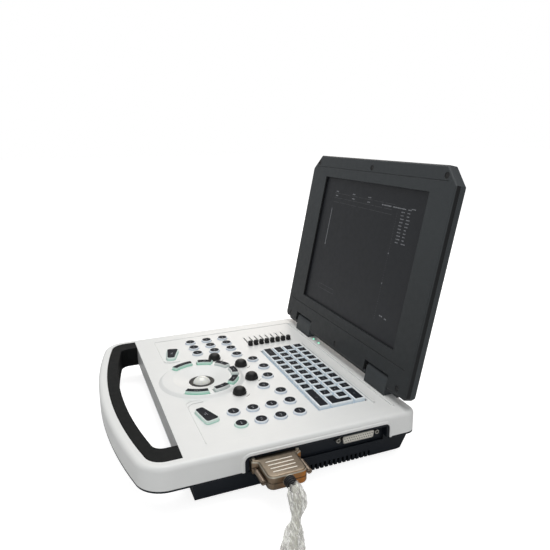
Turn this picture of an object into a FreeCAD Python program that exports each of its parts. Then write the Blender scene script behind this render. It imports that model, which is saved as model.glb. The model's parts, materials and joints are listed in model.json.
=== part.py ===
"""Portable clamshell ultrasound scanner, modelled in millimetres.

Frame: +X to the operator's right, +Y towards the lid hinge, +Z up.  The origin is the centre of the
casing on the flat underside of the lower case; the rubber feet stand 3 mm below it.
"""
import FreeCAD
import Part
import math
import os
import Sketcher
from FreeCAD import Placement, Rotation, Vector

DIMENSIONS = {
    # casing
    "case_width": 340.0,
    "case_depth": 320.0,
    "front_radius": 603.0,
    "front_corner": 30.0,
    "back_corner": 12.0,
    "panel_top": 48.0,
    "shell_height": 24.0,
    "wall": 2.5,
    "top_edge": 5.0,
    "recess_depth": 0.5,
    # handle opening
    "handle_back": 98.0,
    "grip_inset": 10.5,
    "opening_half": 136.0,
    "opening_inset": 24.0,
    "opening_corner": 12.0,
    "grip_corner": 19.5,
    # tray
    "flange": 2.0,
    "tray_half": 163.0,
    "tray_front": 92.0,
    "tray_back": 154.0,
    "louvre_pitch": 5.3,
    "louvre_gap": 2.6,
    "louvre_height": 8.4,
    # connector bay
    "bay_front": -40.5,
    "bay_back": 123.8,
    "bay_top": 40.4,
    "bay_floor": 16.0,
    "bay_corner": 6.0,
    "lip_width": 3.2,
    "lip_proud": 1.3,
    "panel_face": 159.5,
    "socket_height": 29.5,
    "plug_socket": -9.0,
    "free_socket": 88.5,
    "jack_pitch": 47.04,
    # controls
    "key_pitch": 15.16,
    "row_pitch": 14.93,
    "key_gap": 1.6,
    "keyboard_left": -55.4,
    "keyboard_front": 61.25,
    "key_rise": 2.5,
    "key_travel": 1.0,
    "button_radius": 7.25,
    "button_rise": 1.9,
    "arc_key_rise": 6.5,
    "wedge_key_rise": 3.2,
    "knob_radius": 8.25,
    "knob_rise": 8.0,
    "shaft_radius": 2.95,
    "ball_radius": 12.0,
    "ball_front": -39.0,
    "ball_sink": 8.3,
    "mound_radius": 54.0,
    "mound_crest": 47.2,
    "mound_rise": 3.0,
    "slider_pitch": 8.43,
    "slider_front": 54.5,
    "slider_rest": -81.5,
    "slider_end": -113.5,
    # lid
    "lid_half": 165.0,
    "lid_low": 10.0,
    "lid_high": 267.0,
    "lid_depth": 14.4,
    "bezel_depth": 6.0,
    "lid_chamfer": 20.0,
    "lid_foot": 143.5,
    "hinge_along": 17.6,
    "hinge_behind": 6.0,
    "hinge_inner": 76.0,
    "hinge_outer": 127.0,
    "notch_rise": 7.6,
    "barrel_radius": 5.9,
    "pin_radius": 2.5,
    "window_left": -118.0,
    "window_right": 125.0,
    "window_low": 55.0,
    "window_high": 237.0,
    # plug
    "hood_width": 53.0,
    "hood_thickness": 15.0,
    "hood_length": 39.0,
    "cable_radius": 3.8,
    "sleeve_radius": 7.0,
}
LID_TILT = 11.86
RUNNING_GAP = 0.05
LOCK_BORE = 1.45
CABLE_TURN = 24.0
HOOD_EAR = 5.8
HOOD_CORNER = 7.0
FOOT_HEIGHT = 3.0

doc = FreeCAD.newDocument("ultrasound_scanner")
sheet = doc.addObject("Spreadsheet::Sheet", "Sizes")


class Size:
    """A length with its value and the spreadsheet expression that it comes from."""

    def __init__(self, value, text):
        self.value = value
        self.text = text

    @staticmethod
    def of(item):
        return item if isinstance(item, Size) else Size(float(item), f"({float(item):g})")

    def __add__(self, other):
        other = Size.of(other)
        return Size(self.value + other.value, f"({self.text} + {other.text})")

    def __sub__(self, other):
        other = Size.of(other)
        return Size(self.value - other.value, f"({self.text} - {other.text})")

    def __mul__(self, other):
        other = Size.of(other)
        return Size(self.value * other.value, f"({self.text} * {other.text})")

    def __truediv__(self, other):
        other = Size.of(other)
        return Size(self.value / other.value, f"({self.text} / {other.text})")

    def __neg__(self):
        return Size(-self.value, f"(0 - {self.text})")

    def __radd__(self, other):
        return Size.of(other) + self

    def __rsub__(self, other):
        return Size.of(other) - self

    def __rmul__(self, other):
        return Size.of(other) * self


def fill_sheet():
    for row, (name, value) in enumerate(DIMENSIONS.items(), start=1):
        sheet.set(f"A{row}", name)
        sheet.set(f"B{row}", str(value))
        sheet.setAlias(f"B{row}", name)
    doc.recompute()


def size(name):
    return Size(DIMENSIONS[name], f"Sizes.{name}")


def bind(item, name, length):
    length = Size.of(length)
    item.setExpression(name, length.text)


# ---------------------------------------------------------------- primitives

def move(item, x, y, z):
    for axis, length in zip("xyz", (x, y, z)):
        bind(item, f"Placement.Base.{axis}", length)
    return item


def box(name, low, high):
    """A box between two opposite corners."""
    item = doc.addObject("Part::Box", name)
    for side, start, end in zip(("Length", "Width", "Height"), low, high):
        bind(item, side, Size.of(end) - start)
    return move(item, *low)


def cylinder(name, radius, height, x, y, z, angle=360.0, start=0.0):
    """An upright cylinder, or a sector of one, that stands on (x, y, z)."""
    item = doc.addObject("Part::Cylinder", name)
    bind(item, "Radius", radius)
    bind(item, "Height", height)
    item.Angle = angle
    item.Placement.Rotation = Rotation(Vector(0, 0, 1), start)
    return move(item, x, y, z)


def rod(name, radius, length, x, y, z, direction):
    """A cylinder that starts at (x, y, z) and lies along a direction."""
    item = cylinder(name, radius, length, x, y, z)
    item.Placement.Rotation = Rotation(Vector(0, 0, 1), Vector(*direction))
    return move(item, x, y, z)


def sphere(name, radius, x, y, z):
    item = doc.addObject("Part::Sphere", name)
    bind(item, "Radius", radius)
    return move(item, x, y, z)


def cone(name, low_radius, high_radius, height, x, y, z):
    item = doc.addObject("Part::Cone", name)
    bind(item, "Radius1", low_radius)
    bind(item, "Radius2", high_radius)
    bind(item, "Height", height)
    return move(item, x, y, z)


def compound(name, items):
    item = doc.addObject("Part::Compound", name)
    item.Links = items
    return item


def fuse(name, items):
    item = doc.addObject("Part::MultiFuse", name)
    item.Shapes = items
    return item


def cut(name, base, tools):
    item = doc.addObject("Part::Cut", name)
    item.Base = base
    item.Tool = tools[0] if len(tools) == 1 else compound(f"{name}_tools", tools)
    return item


# ---------------------------------------------------------------- sketched bodies

def new_body(name):
    return doc.addObject("PartDesign::Body", name)


def origin_plane(body, role):
    for feature in body.Origin.OriginFeatures:
        if feature.Role == role:
            return feature
    raise LookupError(role)


def new_sketch(body, name, role="XY_Plane", offset=0.0):
    """A sketch on an origin plane of the body, raised by an offset along the plane's normal."""
    sketch = body.newObject("Sketcher::SketchObject", name)
    sketch.AttachmentSupport = [(origin_plane(body, role), "")]
    sketch.MapMode = "FlatFace"
    bind(sketch, "AttachmentOffset.Base.z", offset)
    return sketch


def pin_point(sketch, shape, end, x, y):
    """Fix one point of a sketch at bound coordinates."""
    for kind, length in (("DistanceX", x), ("DistanceY", y)):
        length = Size.of(length)
        index = sketch.addConstraint(Sketcher.Constraint(kind, -1, 1, shape, end, length.value))
        sketch.setExpression(f"Constraints[{index}]", length.text)


def polygon(sketch, points):
    """A closed outline of straight lines through bound points."""
    places = [Vector(Size.of(x).value, Size.of(y).value, 0) for x, y in points]
    first = sketch.GeometryCount
    count = len(places)
    for index in range(count):
        line = Part.LineSegment(places[index], places[(index + 1) % count])
        sketch.addGeometry(line, False)
    for index in range(count):
        after = first + (index + 1) % count
        sketch.addConstraint(Sketcher.Constraint("Coincident", first + index, 2, after, 1))
    for index, (x, y) in enumerate(points):
        pin_point(sketch, first + index, 1, x, y)


def bowed_outline(sketch, half, inset, corner, back):
    """An outline with straight sides, rounded front corners and the casing's long front arc."""
    half, inset, corner, back = (Size.of(item) for item in (half, inset, corner, back))
    radius = size("front_radius") - inset
    centre = size("front_radius") - size("case_depth") / 2
    corner_x = half.value - corner.value
    reach = radius.value - corner.value
    corner_y = centre.value - math.sqrt(reach**2 - corner_x**2)
    meet_angle = math.atan2(corner_y - centre.value, corner_x)
    middle = Vector(0, centre.value, 0)
    up = Vector(0, 0, 1)
    left_centre = Vector(-corner_x, corner_y, 0)
    right_centre = Vector(corner_x, corner_y, 0)
    left_low = Vector(-half.value, corner_y, 0)
    right_low = Vector(half.value, corner_y, 0)
    left_back = Vector(-half.value, back.value, 0)
    right_back = Vector(half.value, back.value, 0)
    shapes = [
        Part.LineSegment(left_back, left_low),
        Part.ArcOfCircle(Part.Circle(left_centre, up, corner.value), math.pi, math.pi - meet_angle),
        Part.ArcOfCircle(Part.Circle(middle, up, radius.value), math.pi - meet_angle, meet_angle),
        Part.ArcOfCircle(Part.Circle(right_centre, up, corner.value), meet_angle, 0),
        Part.LineSegment(right_low, right_back),
        Part.LineSegment(right_back, left_back),
    ]
    for shape in shapes:
        sketch.addGeometry(shape, False)
    # line end - arc start, arc end - front arc start, and so on round the outline
    for one, one_end, two, two_end in ((0, 2, 1, 1), (1, 2, 2, 1), (2, 2, 3, 1), (3, 2, 4, 1)):
        sketch.addConstraint(Sketcher.Constraint("Tangent", one, one_end, two, two_end))
    sketch.addConstraint(Sketcher.Constraint("Coincident", 4, 2, 5, 1))
    sketch.addConstraint(Sketcher.Constraint("Coincident", 5, 2, 0, 1))
    pin_point(sketch, 0, 1, -half, back)
    pin_point(sketch, 4, 2, half, back)
    sketch.addConstraint(Sketcher.Constraint("Vertical", 0))
    sketch.addConstraint(Sketcher.Constraint("Vertical", 4))
    pin_point(sketch, 2, 3, 0, centre)
    for shape, length in ((1, corner), (2, radius), (3, corner)):
        index = sketch.addConstraint(Sketcher.Constraint("Radius", shape, length.value))
        sketch.setExpression(f"Constraints[{index}]", length.text)


def pad(body, sketch, length, reversed_pad=False):
    item = body.newObject("PartDesign::Pad", f"{sketch.Name}_pad")
    item.Profile = sketch
    bind(item, "Length", length)
    item.Reversed = reversed_pad
    doc.recompute()
    return item


def pocket(body, sketch, depth, upward=False):
    """Cut below the sketch, or above it, and make sure that something was cut."""
    before = body.Tip.Shape.Volume
    item = body.newObject("PartDesign::Pocket", f"{sketch.Name}_pocket")
    item.Profile = sketch
    bind(item, "Length", depth)
    item.Reversed = upward
    doc.recompute()
    if not item.Shape.Volume < before:
        raise ValueError(f"{item.Name} cuts nothing")
    return item


def edge_names(shape, test):
    return [f"Edge{index}" for index, edge in enumerate(shape.Edges, start=1) if test(edge)]


def is_level(edge, height):
    return all(abs(point.z - height) < 1e-3 for point in edge.discretize(3))


def keeps(edge, *axes):
    """Whether both ends of the edge share their coordinates on the given axes."""
    low, high = edge.Vertexes[0].Point, edge.Vertexes[-1].Point
    return all(abs(getattr(low, axis) - getattr(high, axis)) < 1e-3 for axis in axes)


def is_upright(edge):
    return keeps(edge, "x", "y")


def runs_across(edge):
    return keeps(edge, "y", "z")


def runs_along_side(edge):
    return keeps(edge, "x", "z")


def starts_at(edge, axis, value):
    return abs(getattr(edge.Vertexes[0].Point, axis) - value) < 1e-3


def round_edges(body, radius, test, kind="Fillet"):
    """A fillet or chamfer on the edges of the body's tip that pass the test."""
    base = body.Tip
    item = body.newObject(f"PartDesign::{kind}", f"{body.Name}_{kind.lower()}")
    item.Base = (base, edge_names(base.Shape, test))
    bind(item, "Radius" if kind == "Fillet" else "Size", radius)
    doc.recompute()
    return item


def round_corners(name, base, radius, test):
    """A fillet on the edges of a Part object that pass the test."""
    doc.recompute()
    item = doc.addObject("Part::Fillet", name)
    item.Base = base
    numbers = [int(edge[4:]) for edge in edge_names(base.Shape, test)]
    item.Edges = [(number, radius, radius) for number in numbers]
    return item


# ---------------------------------------------------------------- places of the controls

def grid_places(first, pitches, columns, rows):
    left, front = first
    across, along = pitches
    return [(left + across * column, front + along * row) for row in range(rows) for column in range(columns)]


def left_button_places():
    return grid_places((-123.5, -23.7), (21.42, 24.2), 3, 3)


def arc_button_places():
    """Five round buttons on an arc about a point near the trackball."""
    centre_x, centre_y, radius, step_angle = -4.0, -33.3, 78.6, 20.8
    places = []
    for step in range(-2, 3):
        angle = math.radians(90 - step_angle * step)
        places.append((centre_x + radius * math.cos(angle), centre_y + radius * math.sin(angle)))
    return places


def right_button_places():
    return [(68.6, 39.3)] + grid_places((95.3, -27.7), (27.2, 22.4), 2, 4)


RING_HOLE = 15.8
KNOB_PLACES = [(-54.0, -7.0), (-20.8, 19.5), (21.2, 19.5), (54.0, -7.0)]
BALL_SIDE = 1.0
LED_PLACES = [(-66.0, 147.5), (-49.0, 147.5)]
# angle from straight back, half angle, inner and outer radius of each key round the trackball
ARC_KEYS = [(angle, 13.5, 37.5, 46.5) for angle in (-71, -36, 0, 36, 71)]
SELECT_KEYS = {"select_left": (-111, 18.5, 38.5, 47.0), "select_right": (111, 18.5, 38.5, 47.0)}
# middle of each wedge key and the direction of its tall end
WEDGE_KEYS = {"freeze_key": (92.0, 1), "print_key": (-88.8, -1)}
WEDGE_FRONT = -57.8
SLIDER_COUNT = 8

# widths in key pitches of each row of the keyboard, front row first
KEY_ROWS = {
    "key_row_1": [2.0] + [1.0] * 7 + [3.0],
    "key_row_2": [1.5] + [1.0] * 9,
    "key_row_3": [1.25] + [1.0] * 10,
    "key_row_4": [1.0] * 10 + [2.0],
}


def panel_plus(rise):
    return size("panel_top") + rise


def arc_sector(name, key, low, high, clearance=0.0):
    """A block with the plan of a ring sector round the trackball."""
    angle, half, inner, outer = key
    spread = half + math.degrees(clearance / inner)
    start = 90 - angle - spread
    ball = (BALL_SIDE, size("ball_front"))
    blank = cylinder(f"{name}_blank", outer + clearance, high - low, *ball, low, 2 * spread, start)
    core = cylinder(f"{name}_core", inner - clearance, high - low + 2, *ball, low - 1)
    return cut(name, blank, [core])


def wedge_body(name, place, side, low, high, clearance=0.0):
    """A block with a long wedge plan: tall at its outer end, low at its inner end."""
    body = new_body(name)
    sketch = new_sketch(body, f"{name}_plan", offset=low)
    half_length = 16.6 + clearance
    tall = 8.7 + clearance
    short = 5.6 + clearance
    lean = math.radians(16)
    corners = [(-half_length, -short), (half_length, -tall), (half_length, tall), (-half_length, short)]
    points = []
    for along, across in corners:
        x = place + side * (along * math.cos(lean) - across * math.sin(lean))
        y = WEDGE_FRONT + along * math.sin(lean) + across * math.cos(lean)
        points.append((x, y))
    polygon(sketch, points)
    pad(body, sketch, high - low)
    round_edges(body, 4.0 + clearance, is_upright)
    return body


# ---------------------------------------------------------------- casing

def panel_openings():
    """Everything that is cut through the top of the upper case for the controls."""
    low = panel_plus(-6)
    depth = 12.0
    radius = size("button_radius") + 0.4
    tools = []
    for x, y in left_button_places() + arc_button_places() + right_button_places():
        tools.append(cylinder("button_hole", radius, depth, x, y, low))
    for x, y in KNOB_PLACES:
        tools.append(cylinder("knob_hole", 4.0, depth, x, y, low))
        seat = panel_plus(-size("recess_depth"))
        tools.append(cylinder("knob_seat", size("knob_radius") + 0.5, 3, x, y, seat))
    for x, y in LED_PLACES:
        tools.append(cylinder("led_hole", 1.6, depth, x, y, low))
    ball = (BALL_SIDE, size("ball_front"))
    bowl_low = -2.5
    bowl_slope = 3.45
    bowl_height = size("mound_rise") - bowl_low + 0.1
    tools.append(cylinder("ball_hole", RING_HOLE, depth, *ball, low))
    tools.append(cone("ball_bowl", RING_HOLE, RING_HOLE + bowl_height * bowl_slope, bowl_height,
                      *ball, panel_plus(bowl_low)))
    for number, key in enumerate(ARC_KEYS):
        tools.append(arc_sector(f"arc_hole_{number}", key, low, low + depth, 0.4))
    for name, key in SELECT_KEYS.items():
        tools.append(arc_sector(f"{name}_hole", key, low, low + depth, 0.4))
    for name, (place, side) in WEDGE_KEYS.items():
        tools.append(wedge_body(f"{name}_hole", place, side, low, low + depth, 0.4))
    for number in range(SLIDER_COUNT):
        y = size("slider_front") + size("slider_pitch") * number
        start = (size("slider_end"), y - 1.0, low)
        end = (size("slider_rest") + 2.5, y + 1.0, low + depth)
        tools.append(box("slider_slot", start, end))
    tools.append(box("keyboard_hole", keyboard_corner(-1.4, low), keyboard_far_corner(1.4, low + depth)))
    return tools


def keyboard_corner(margin, level):
    return size("keyboard_left") + margin, size("keyboard_front") + margin, level


def keyboard_far_corner(margin, level):
    right = size("keyboard_left") + size("key_pitch") * 12 + margin
    back = size("keyboard_front") + size("row_pitch") * 4 + margin
    return right, back, level


RECESS_FRONT, RECESS_BACK = -72.0, 140.0


def recess_field(start, end, inner):
    """One flat side of the sunk field; its front corner at the inner side is round."""
    blank = box("recess_blank", (start, RECESS_FRONT, panel_plus(-size("recess_depth"))),
                (end, RECESS_BACK, panel_plus(1)))

    def is_inner_corner(edge):
        return is_upright(edge) and starts_at(edge, "x", inner) and starts_at(edge, "y", RECESS_FRONT)

    return round_corners("recess_field", blank, 9.0, is_inner_corner)


def panel_recess():
    """The shallow sunk field of the control panel; between its two sides the front fades out in a ramp."""
    sides = [recess_field(-146.0, -60.0, -60.0), recess_field(52.0, 149.0, 52.0)]
    floor = panel_plus(-size("recess_depth"))
    ramp = new_body("recess_ramp")
    profile = new_sketch(ramp, "recess_ramp_profile", "YZ_Plane", -62.0)
    polygon(profile, [(RECESS_FRONT, size("panel_top")), (-40, floor), (RECESS_BACK, floor),
                      (RECESS_BACK, panel_plus(1)), (RECESS_FRONT, panel_plus(1))])
    pad(ramp, profile, 116.0)
    return fuse("recess", sides + [ramp])


def mound_slope(root):
    """(radius, height) points of the mound's outer slope: an even curve from its root to its crest."""
    steps = 10
    spread = size("mound_radius") - size("mound_crest")
    points = []
    for step in range(steps + 1):
        share = step / steps
        rise = share * share * (3 - 2 * share)
        height = panel_plus(-root) + (size("mound_rise") + root) * rise
        points.append((size("mound_radius") - spread * share, height))
    return points


def trackball_mound():
    """The raised ring that carries the arc keys, and a boss under the panel for the bowl inside it."""
    root = 0.6
    ridge = new_body("mound_ridge")
    profile = new_sketch(ridge, "mound_profile", "XZ_Plane")
    low = panel_plus(-root - 0.6)
    crest = panel_plus(size("mound_rise"))
    polygon(profile, [(0, low), (size("mound_radius"), low)] + mound_slope(root) + [(0, crest)])
    turned = ridge.newObject("PartDesign::Revolution", "mound_turned")
    turned.Profile = profile
    turned.ReferenceAxis = (profile, ["V_Axis"])
    turned.Angle = 360.0
    move(ridge, BALL_SIDE, size("ball_front"), 0)
    boss = cylinder("mound_boss", 26.0, 4.0, BALL_SIDE, size("ball_front"), panel_plus(-4.4))
    return fuse("trackball_mound", [ridge, boss])


def bay_lip():
    """The white border that stands proud round the top and the ends of the connector bay."""
    wall_face = size("case_width") / 2
    width = size("lip_width")
    face = wall_face + size("lip_proud")
    top = size("bay_top") + width
    low = (wall_face - 2, size("bay_front") - width, case_bottom())
    blank = box("lip_blank", low, (face, size("bay_back") + width, top))
    outline = round_corners("lip_outline", blank, DIMENSIONS["bay_corner"] + width.value,
                            lambda edge: is_level(edge, top.value) and runs_across(edge))
    bottom = case_bottom().value

    def is_front(edge):
        return keeps(edge, "x") and starts_at(edge, "x", face.value) and not is_level(edge, bottom)

    return round_corners("bay_lip", outline, 1.0, is_front)


def bay_blank(name, inner, outer, margin=0.0):
    """A block through the right wall with the bay's outline; its two top corners are round."""
    blank = box(
        f"{name}_blank",
        (inner, size("bay_front") - margin, size("bay_floor") - margin),
        (outer, size("bay_back") + margin, size("bay_top") + margin),
    )
    top = DIMENSIONS["bay_top"] + margin
    radius = DIMENSIONS["bay_corner"]
    return round_corners(name, blank, radius, lambda edge: is_level(edge, top) and runs_across(edge))


def case_bottom():
    return size("panel_top") - size("shell_height")


def main_hollow(sketch, wall):
    """The inside of the casing behind the handle opening, with cut back corners."""
    half = size("case_width") / 2 - wall
    back = size("case_depth") / 2 - wall
    front = -size("handle_back") + wall
    cut_off = 8.0
    polygon(
        sketch,
        [(-half, front), (half, front), (half, back - cut_off), (half - cut_off, back),
         (-half + cut_off, back), (-half, back - cut_off)],
    )


def bowed_block(name, half, inset, corner, back, low, high):
    """An upright block with the casing's bowed front."""
    body = new_body(name)
    sketch = new_sketch(body, f"{name}_plan", offset=low)
    bowed_outline(sketch, half, inset, corner, back)
    pad(body, sketch, Size.of(high) - low)
    return body


def round_back_corners(body):
    back = DIMENSIONS["case_depth"] / 2
    round_edges(body, size("back_corner"), lambda edge: is_upright(edge) and edge.Vertexes[0].Y > back - 1)


def handle_hole(name, margin, low, high):
    """The finger opening, grown by a margin; it runs a little past the panel's front wall."""
    half = size("opening_half") + margin
    inset = size("opening_inset") - margin
    back = -size("handle_back") + 4
    return bowed_block(name, half, inset, size("opening_corner") + margin, back, low, high)


POST_PLACES = [(side * 152.0, y) for side in (-1, 1) for y in (-75.0, 40.0, 128.0)]
FOOT_PLACES = [(side * 130.0, y) for side in (-1, 1) for y in (-68.0, 112.0)]
BOARD_PLACES = [(x, y) for x in (-55.0, 140.0) for y in (-55.0, 105.0)]
HANGER_PLACES = [(side * 142.0, y) for side in (-1, 1) for y in (-60.0, 110.0)]
POST_SPLIT = 30.0


def upper_case():
    bottom = case_bottom()
    half = size("case_width") / 2
    wall = size("wall")
    height = size("shell_height")
    back = size("case_depth") / 2
    body = bowed_block("upper_shell", half, 0, size("front_corner"), back, bottom, bottom + height)
    round_back_corners(body)
    round_edges(body, size("top_edge"), lambda edge: is_level(edge, DIMENSIONS["panel_top"]))
    hollow = new_sketch(body, "shell_hollow", offset=bottom)
    main_hollow(hollow, wall)
    pocket(body, hollow, height - wall, upward=True)
    handle = new_sketch(body, "handle_hollow", offset=bottom)
    bowed_outline(handle, half - wall, wall, size("front_corner") - wall, -size("handle_back"))
    pocket(body, handle, height - wall, upward=True)
    opening = new_sketch(body, "handle_opening", offset=bottom)
    inset = size("grip_inset")
    bowed_outline(opening, half - inset, inset, size("grip_corner"), -size("handle_back"))
    pocket(body, opening, height + 1, upward=True)
    post_height = size("panel_top") - wall - POST_SPLIT
    posts = [cylinder("shell_post", 4.0, post_height, x, y, POST_SPLIT) for x, y in POST_PLACES]
    hangers = [cylinder("board_hanger", 3.0, 8.6, x, y, panel_plus(-11)) for x, y in HANGER_PLACES]
    sunk = cut("sunk_shell", body, [panel_recess()])
    solid = fuse("upper_solid", [sunk, trackball_mound(), bay_lip()] + posts + hangers)
    tools = panel_openings() + [bay_blank("bay_hole", 155, half + 5, 0.2)]
    tools += [hinge_socket(side) for side in (-1, 1)]
    tools += [cylinder("post_hole", 1.5, 9.0, x, y, POST_SPLIT - 0.5) for x, y in POST_PLACES]
    return cut("upper_case", solid, tools)


def grip_liner():
    """The black grip: a top band and the walls of the handle opening."""
    bottom = case_bottom()
    top = size("panel_top")
    wall = size("wall")
    half = size("case_width") / 2 - size("grip_inset") - 0.15
    inset = size("grip_inset") + 0.15
    back = -size("handle_back") - 0.15
    outer = bowed_block("grip_outer", half, inset, size("grip_corner"), back, bottom, top)

    def is_front_top(edge):
        return is_level(edge, top.value) and edge.BoundBox.YMin < back.value - 1

    round_edges(outer, 1.2, is_front_top)
    hole = handle_hole("grip_hole", 0, bottom - 1, top + 1)
    corner = size("grip_corner") - wall
    core = bowed_block("grip_core", half - wall, inset + wall, corner, back - wall, bottom - 1, top - wall)
    keep = handle_hole("grip_keep", wall, bottom - 2, top)
    band = cut("grip_band", outer, [hole])
    return cut("grip_liner", band, [cut("grip_inside", core, [keep])])


def tray_block(name, margin, top):
    """The tray's side profile drawn out between its side walls; the margin shrinks it."""
    body = new_body(name)
    half = size("tray_half") - margin
    front = size("tray_front") - margin
    back = size("tray_back") - margin * 1.1
    sketch = new_sketch(body, f"{name}_profile", "YZ_Plane", -half)
    polygon(
        sketch,
        [(-front, top), (-front + 2.5, margin), (back - 17, margin), (back - 10.5, margin + 2.4), (back, 22),
         (back, top)],
    )
    pad(body, sketch, half * 2)
    return body


LOUVRE_COUNT, LOUVRE_START = 14, 33.0


def louvres():
    """Slots that run down the tray's right wall and round its bottom edge."""
    tools = []
    wall_face = size("tray_half")
    for number in range(LOUVRE_COUNT):
        y = LOUVRE_START + number * size("louvre_pitch")
        end = (wall_face + 1, y + size("louvre_gap"), size("louvre_height"))
        tools.append(box("louvre", (wall_face - 6, y, -1), end))
    return tools


def fan_slots():
    wall_face = -size("tray_half")
    return [
        box("fan_slot", (wall_face - 1, 88.0 + 4.4 * number, 4.5), (wall_face + 4, 90.2 + 4.4 * number, 20.5))
        for number in range(6)
    ]


def lower_case():
    bottom = case_bottom()
    half = size("case_width") / 2
    low = bottom - size("flange")
    back = size("case_depth") / 2
    flange = bowed_block("flange", half, 0, size("front_corner"), back, low, bottom)
    round_back_corners(flange)
    rim = cut("flange_rim", flange, [handle_hole("flange_hole", 0, low - 1, bottom + 1)])
    tray = tray_block("tray", 0, 23.0)
    round_edges(tray, 3.0, lambda edge: is_level(edge, 0) and runs_along_side(edge))
    hollow = tray_block("tray_hollow", size("wall"), 30.0)
    shell = cut("tray_shell", fuse("tray_solid", [rim, tray]), [hollow])
    posts = [cylinder("tray_post", 5.0, POST_SPLIT - 1.5, x, y, 1.5) for x, y in POST_PLACES]
    studs = [cylinder("board_stud", 3.0, 4.5, x, y, 1.5) for x, y in BOARD_PLACES]
    solid = fuse("lower_solid", [shell] + posts + studs)
    tools = louvres() + fan_slots()
    for x, y in POST_PLACES:
        tools.append(cylinder("screw_bore", 3.6, POST_SPLIT - 6, x, y, 0))
        tools.append(cylinder("screw_hole", 1.7, POST_SPLIT, x, y, 1))
    for x, y in FOOT_PLACES:
        tools.append(cylinder("foot_pocket", 8.3, 2.0, x, y, -1))
    margin = 0.2
    tools.append(box(
        "bay_gap",
        (155.5, size("bay_front") - margin, size("bay_floor") - margin),
        (half + 5, size("bay_back") + margin, 40),
    ))
    return cut("lower_case", solid, tools)


def case_screws():
    screws = []
    for x, y in POST_PLACES:
        head = cylinder("case_screw_head", 3.3, 2.5, x, y, POST_SPLIT - 8.5)
        shank = cylinder("case_screw_shank", 1.4, 14.0, x, y, POST_SPLIT - 6)
        slot_low = (x - 2.4, y - 0.4, POST_SPLIT - 9)
        slot = box("case_screw_slot", slot_low, (x + 2.4, y + 0.4, POST_SPLIT - 7.6))
        screws.append(cut("case_screw", fuse("case_screw_blank", [head, shank]), [slot]))
    return compound("case_screws", screws)


def rubber_feet():
    feet = []
    for x, y in FOOT_PLACES:
        foot = cylinder("foot_blank", 8.0, 4.0, x, y, -3)
        feet.append(round_corners("foot", foot, 0.8, lambda edge: is_level(edge, -3)))
    return compound("rubber_feet", feet)


def port_panel():
    """The black pan of the connector bay: back plate, frame and floor, with the two socket cut-outs."""
    face = size("panel_face")
    back_face = face - 2
    front_frame, back_frame, top_frame = 4.5, 3.0, 3.1
    rim = size("case_width") / 2 - 0.1
    tray_face = size("tray_half")
    front, back = size("bay_front"), size("bay_back")
    low, high = size("bay_floor"), size("bay_top")
    outer = bay_blank("port_blank", back_face, rim)
    inside_high = (rim + 1, back - back_frame, high - top_frame)
    inside = box("port_inside", (face, front + front_frame, low + 2), inside_high)
    below = box("port_below", (tray_face, front - 1, low - 1), (rim + 1, back + 1, case_bottom()))
    tools = [inside, below]
    height = size("socket_height")
    for centre in (size("plug_socket"), size("free_socket")):
        hole_low = (back_face - 1, centre - 19.8, height - 4.5)
        tools.append(box("socket_hole", hole_low, (face + 1, centre + 19.8, height + 4.5)))
        for side in (-1, 1):
            y = centre + size("jack_pitch") / 2 * side
            tools.append(rod("jack_hole", 2.7, 4, back_face - 1, y, height, (1, 0, 0)))
    return cut("port_panel", outer, tools)


def led_lenses():
    lenses = []
    for x, y in LED_PLACES:
        tube = cylinder("led_tube", 1.5, 5.0, x, y, panel_plus(-4.9))
        lenses.append(fuse("led_lens", [tube, sphere("led_dome", 1.5, x, y, panel_plus(0.0))]))
    return compound("led_lenses", lenses)


# ---------------------------------------------------------------- controls

# heights of the flat pieces under the panel, from its top
BOARD_LOW, BOARD_HIGH, MAT_HIGH, PLATEAU_HIGH = -12.6, -11.0, -8.8, -3.6
# slack between the rubber mat and the underside of a round button
BUTTON_SLACK = 1.4
CUP_ROOM = 17.6
ENCODER_HALF = 6.0


def part_rooms(low, high):
    """Room for the trackball cup, the encoders and the slider bank in the mat under the panel."""
    height = Size.of(high) - low
    tools = [cylinder("cup_room", CUP_ROOM, height, BALL_SIDE, size("ball_front"), low)]
    reach = ENCODER_HALF + 0.5
    for x, y in KNOB_PLACES:
        tools.append(box("encoder_room", (x - reach, y - reach, low), (x + reach, y + reach, high)))
    tools.append(box("bank_room", bank_corner(0.5, low), bank_far_corner(0.5, high)))
    return tools


def bank_corner(margin, level):
    return -120.0 - margin, size("slider_front") - 5 - margin, level


def bank_far_corner(margin, level):
    back = size("slider_front") + size("slider_pitch") * (SLIDER_COUNT - 1)
    return -74.0 + margin, back + 5 + margin, level


def control_board():
    board = box("control_blank", (-146, -70, panel_plus(BOARD_LOW)), (146, 126, panel_plus(BOARD_HIGH)))
    cup = cylinder("cup_room", CUP_ROOM, 4, BALL_SIDE, size("ball_front"), panel_plus(BOARD_LOW - 1))
    return cut("control_board", board, [cup])


def keypad_mat():
    low, high = panel_plus(BOARD_HIGH), panel_plus(MAT_HIGH)
    sheet_blank = box("mat_sheet", (-134, -68, low), (138, 124, high))
    plateau_high = keyboard_far_corner(1.0, panel_plus(PLATEAU_HIGH))
    plateau = box("mat_plateau", keyboard_corner(-1.0, low), plateau_high)
    return cut("keypad_mat", fuse("mat_blank", [sheet_blank, plateau]), part_rooms(low - 1, high + 1))


def key_blank(name, left, front, right, back):
    gap = size("key_gap") / 2
    low = panel_plus(PLATEAU_HIGH) + size("key_travel") + 0.1
    return box(name, (left + gap, front + gap, low), (right - gap, back - gap, panel_plus(size("key_rise"))))


def key_row(name, number):
    """One row of the keyboard; its keys are separate solids."""
    front = size("keyboard_front") + size("row_pitch") * number
    pitch = size("key_pitch")
    left = size("keyboard_left")
    keys = []
    for width in KEY_ROWS[name]:
        right = left + pitch * width
        keys.append(key_blank(f"{name}_key", left, front, right, front + size("row_pitch")))
        left = right
    return compound(name, keys)


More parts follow.
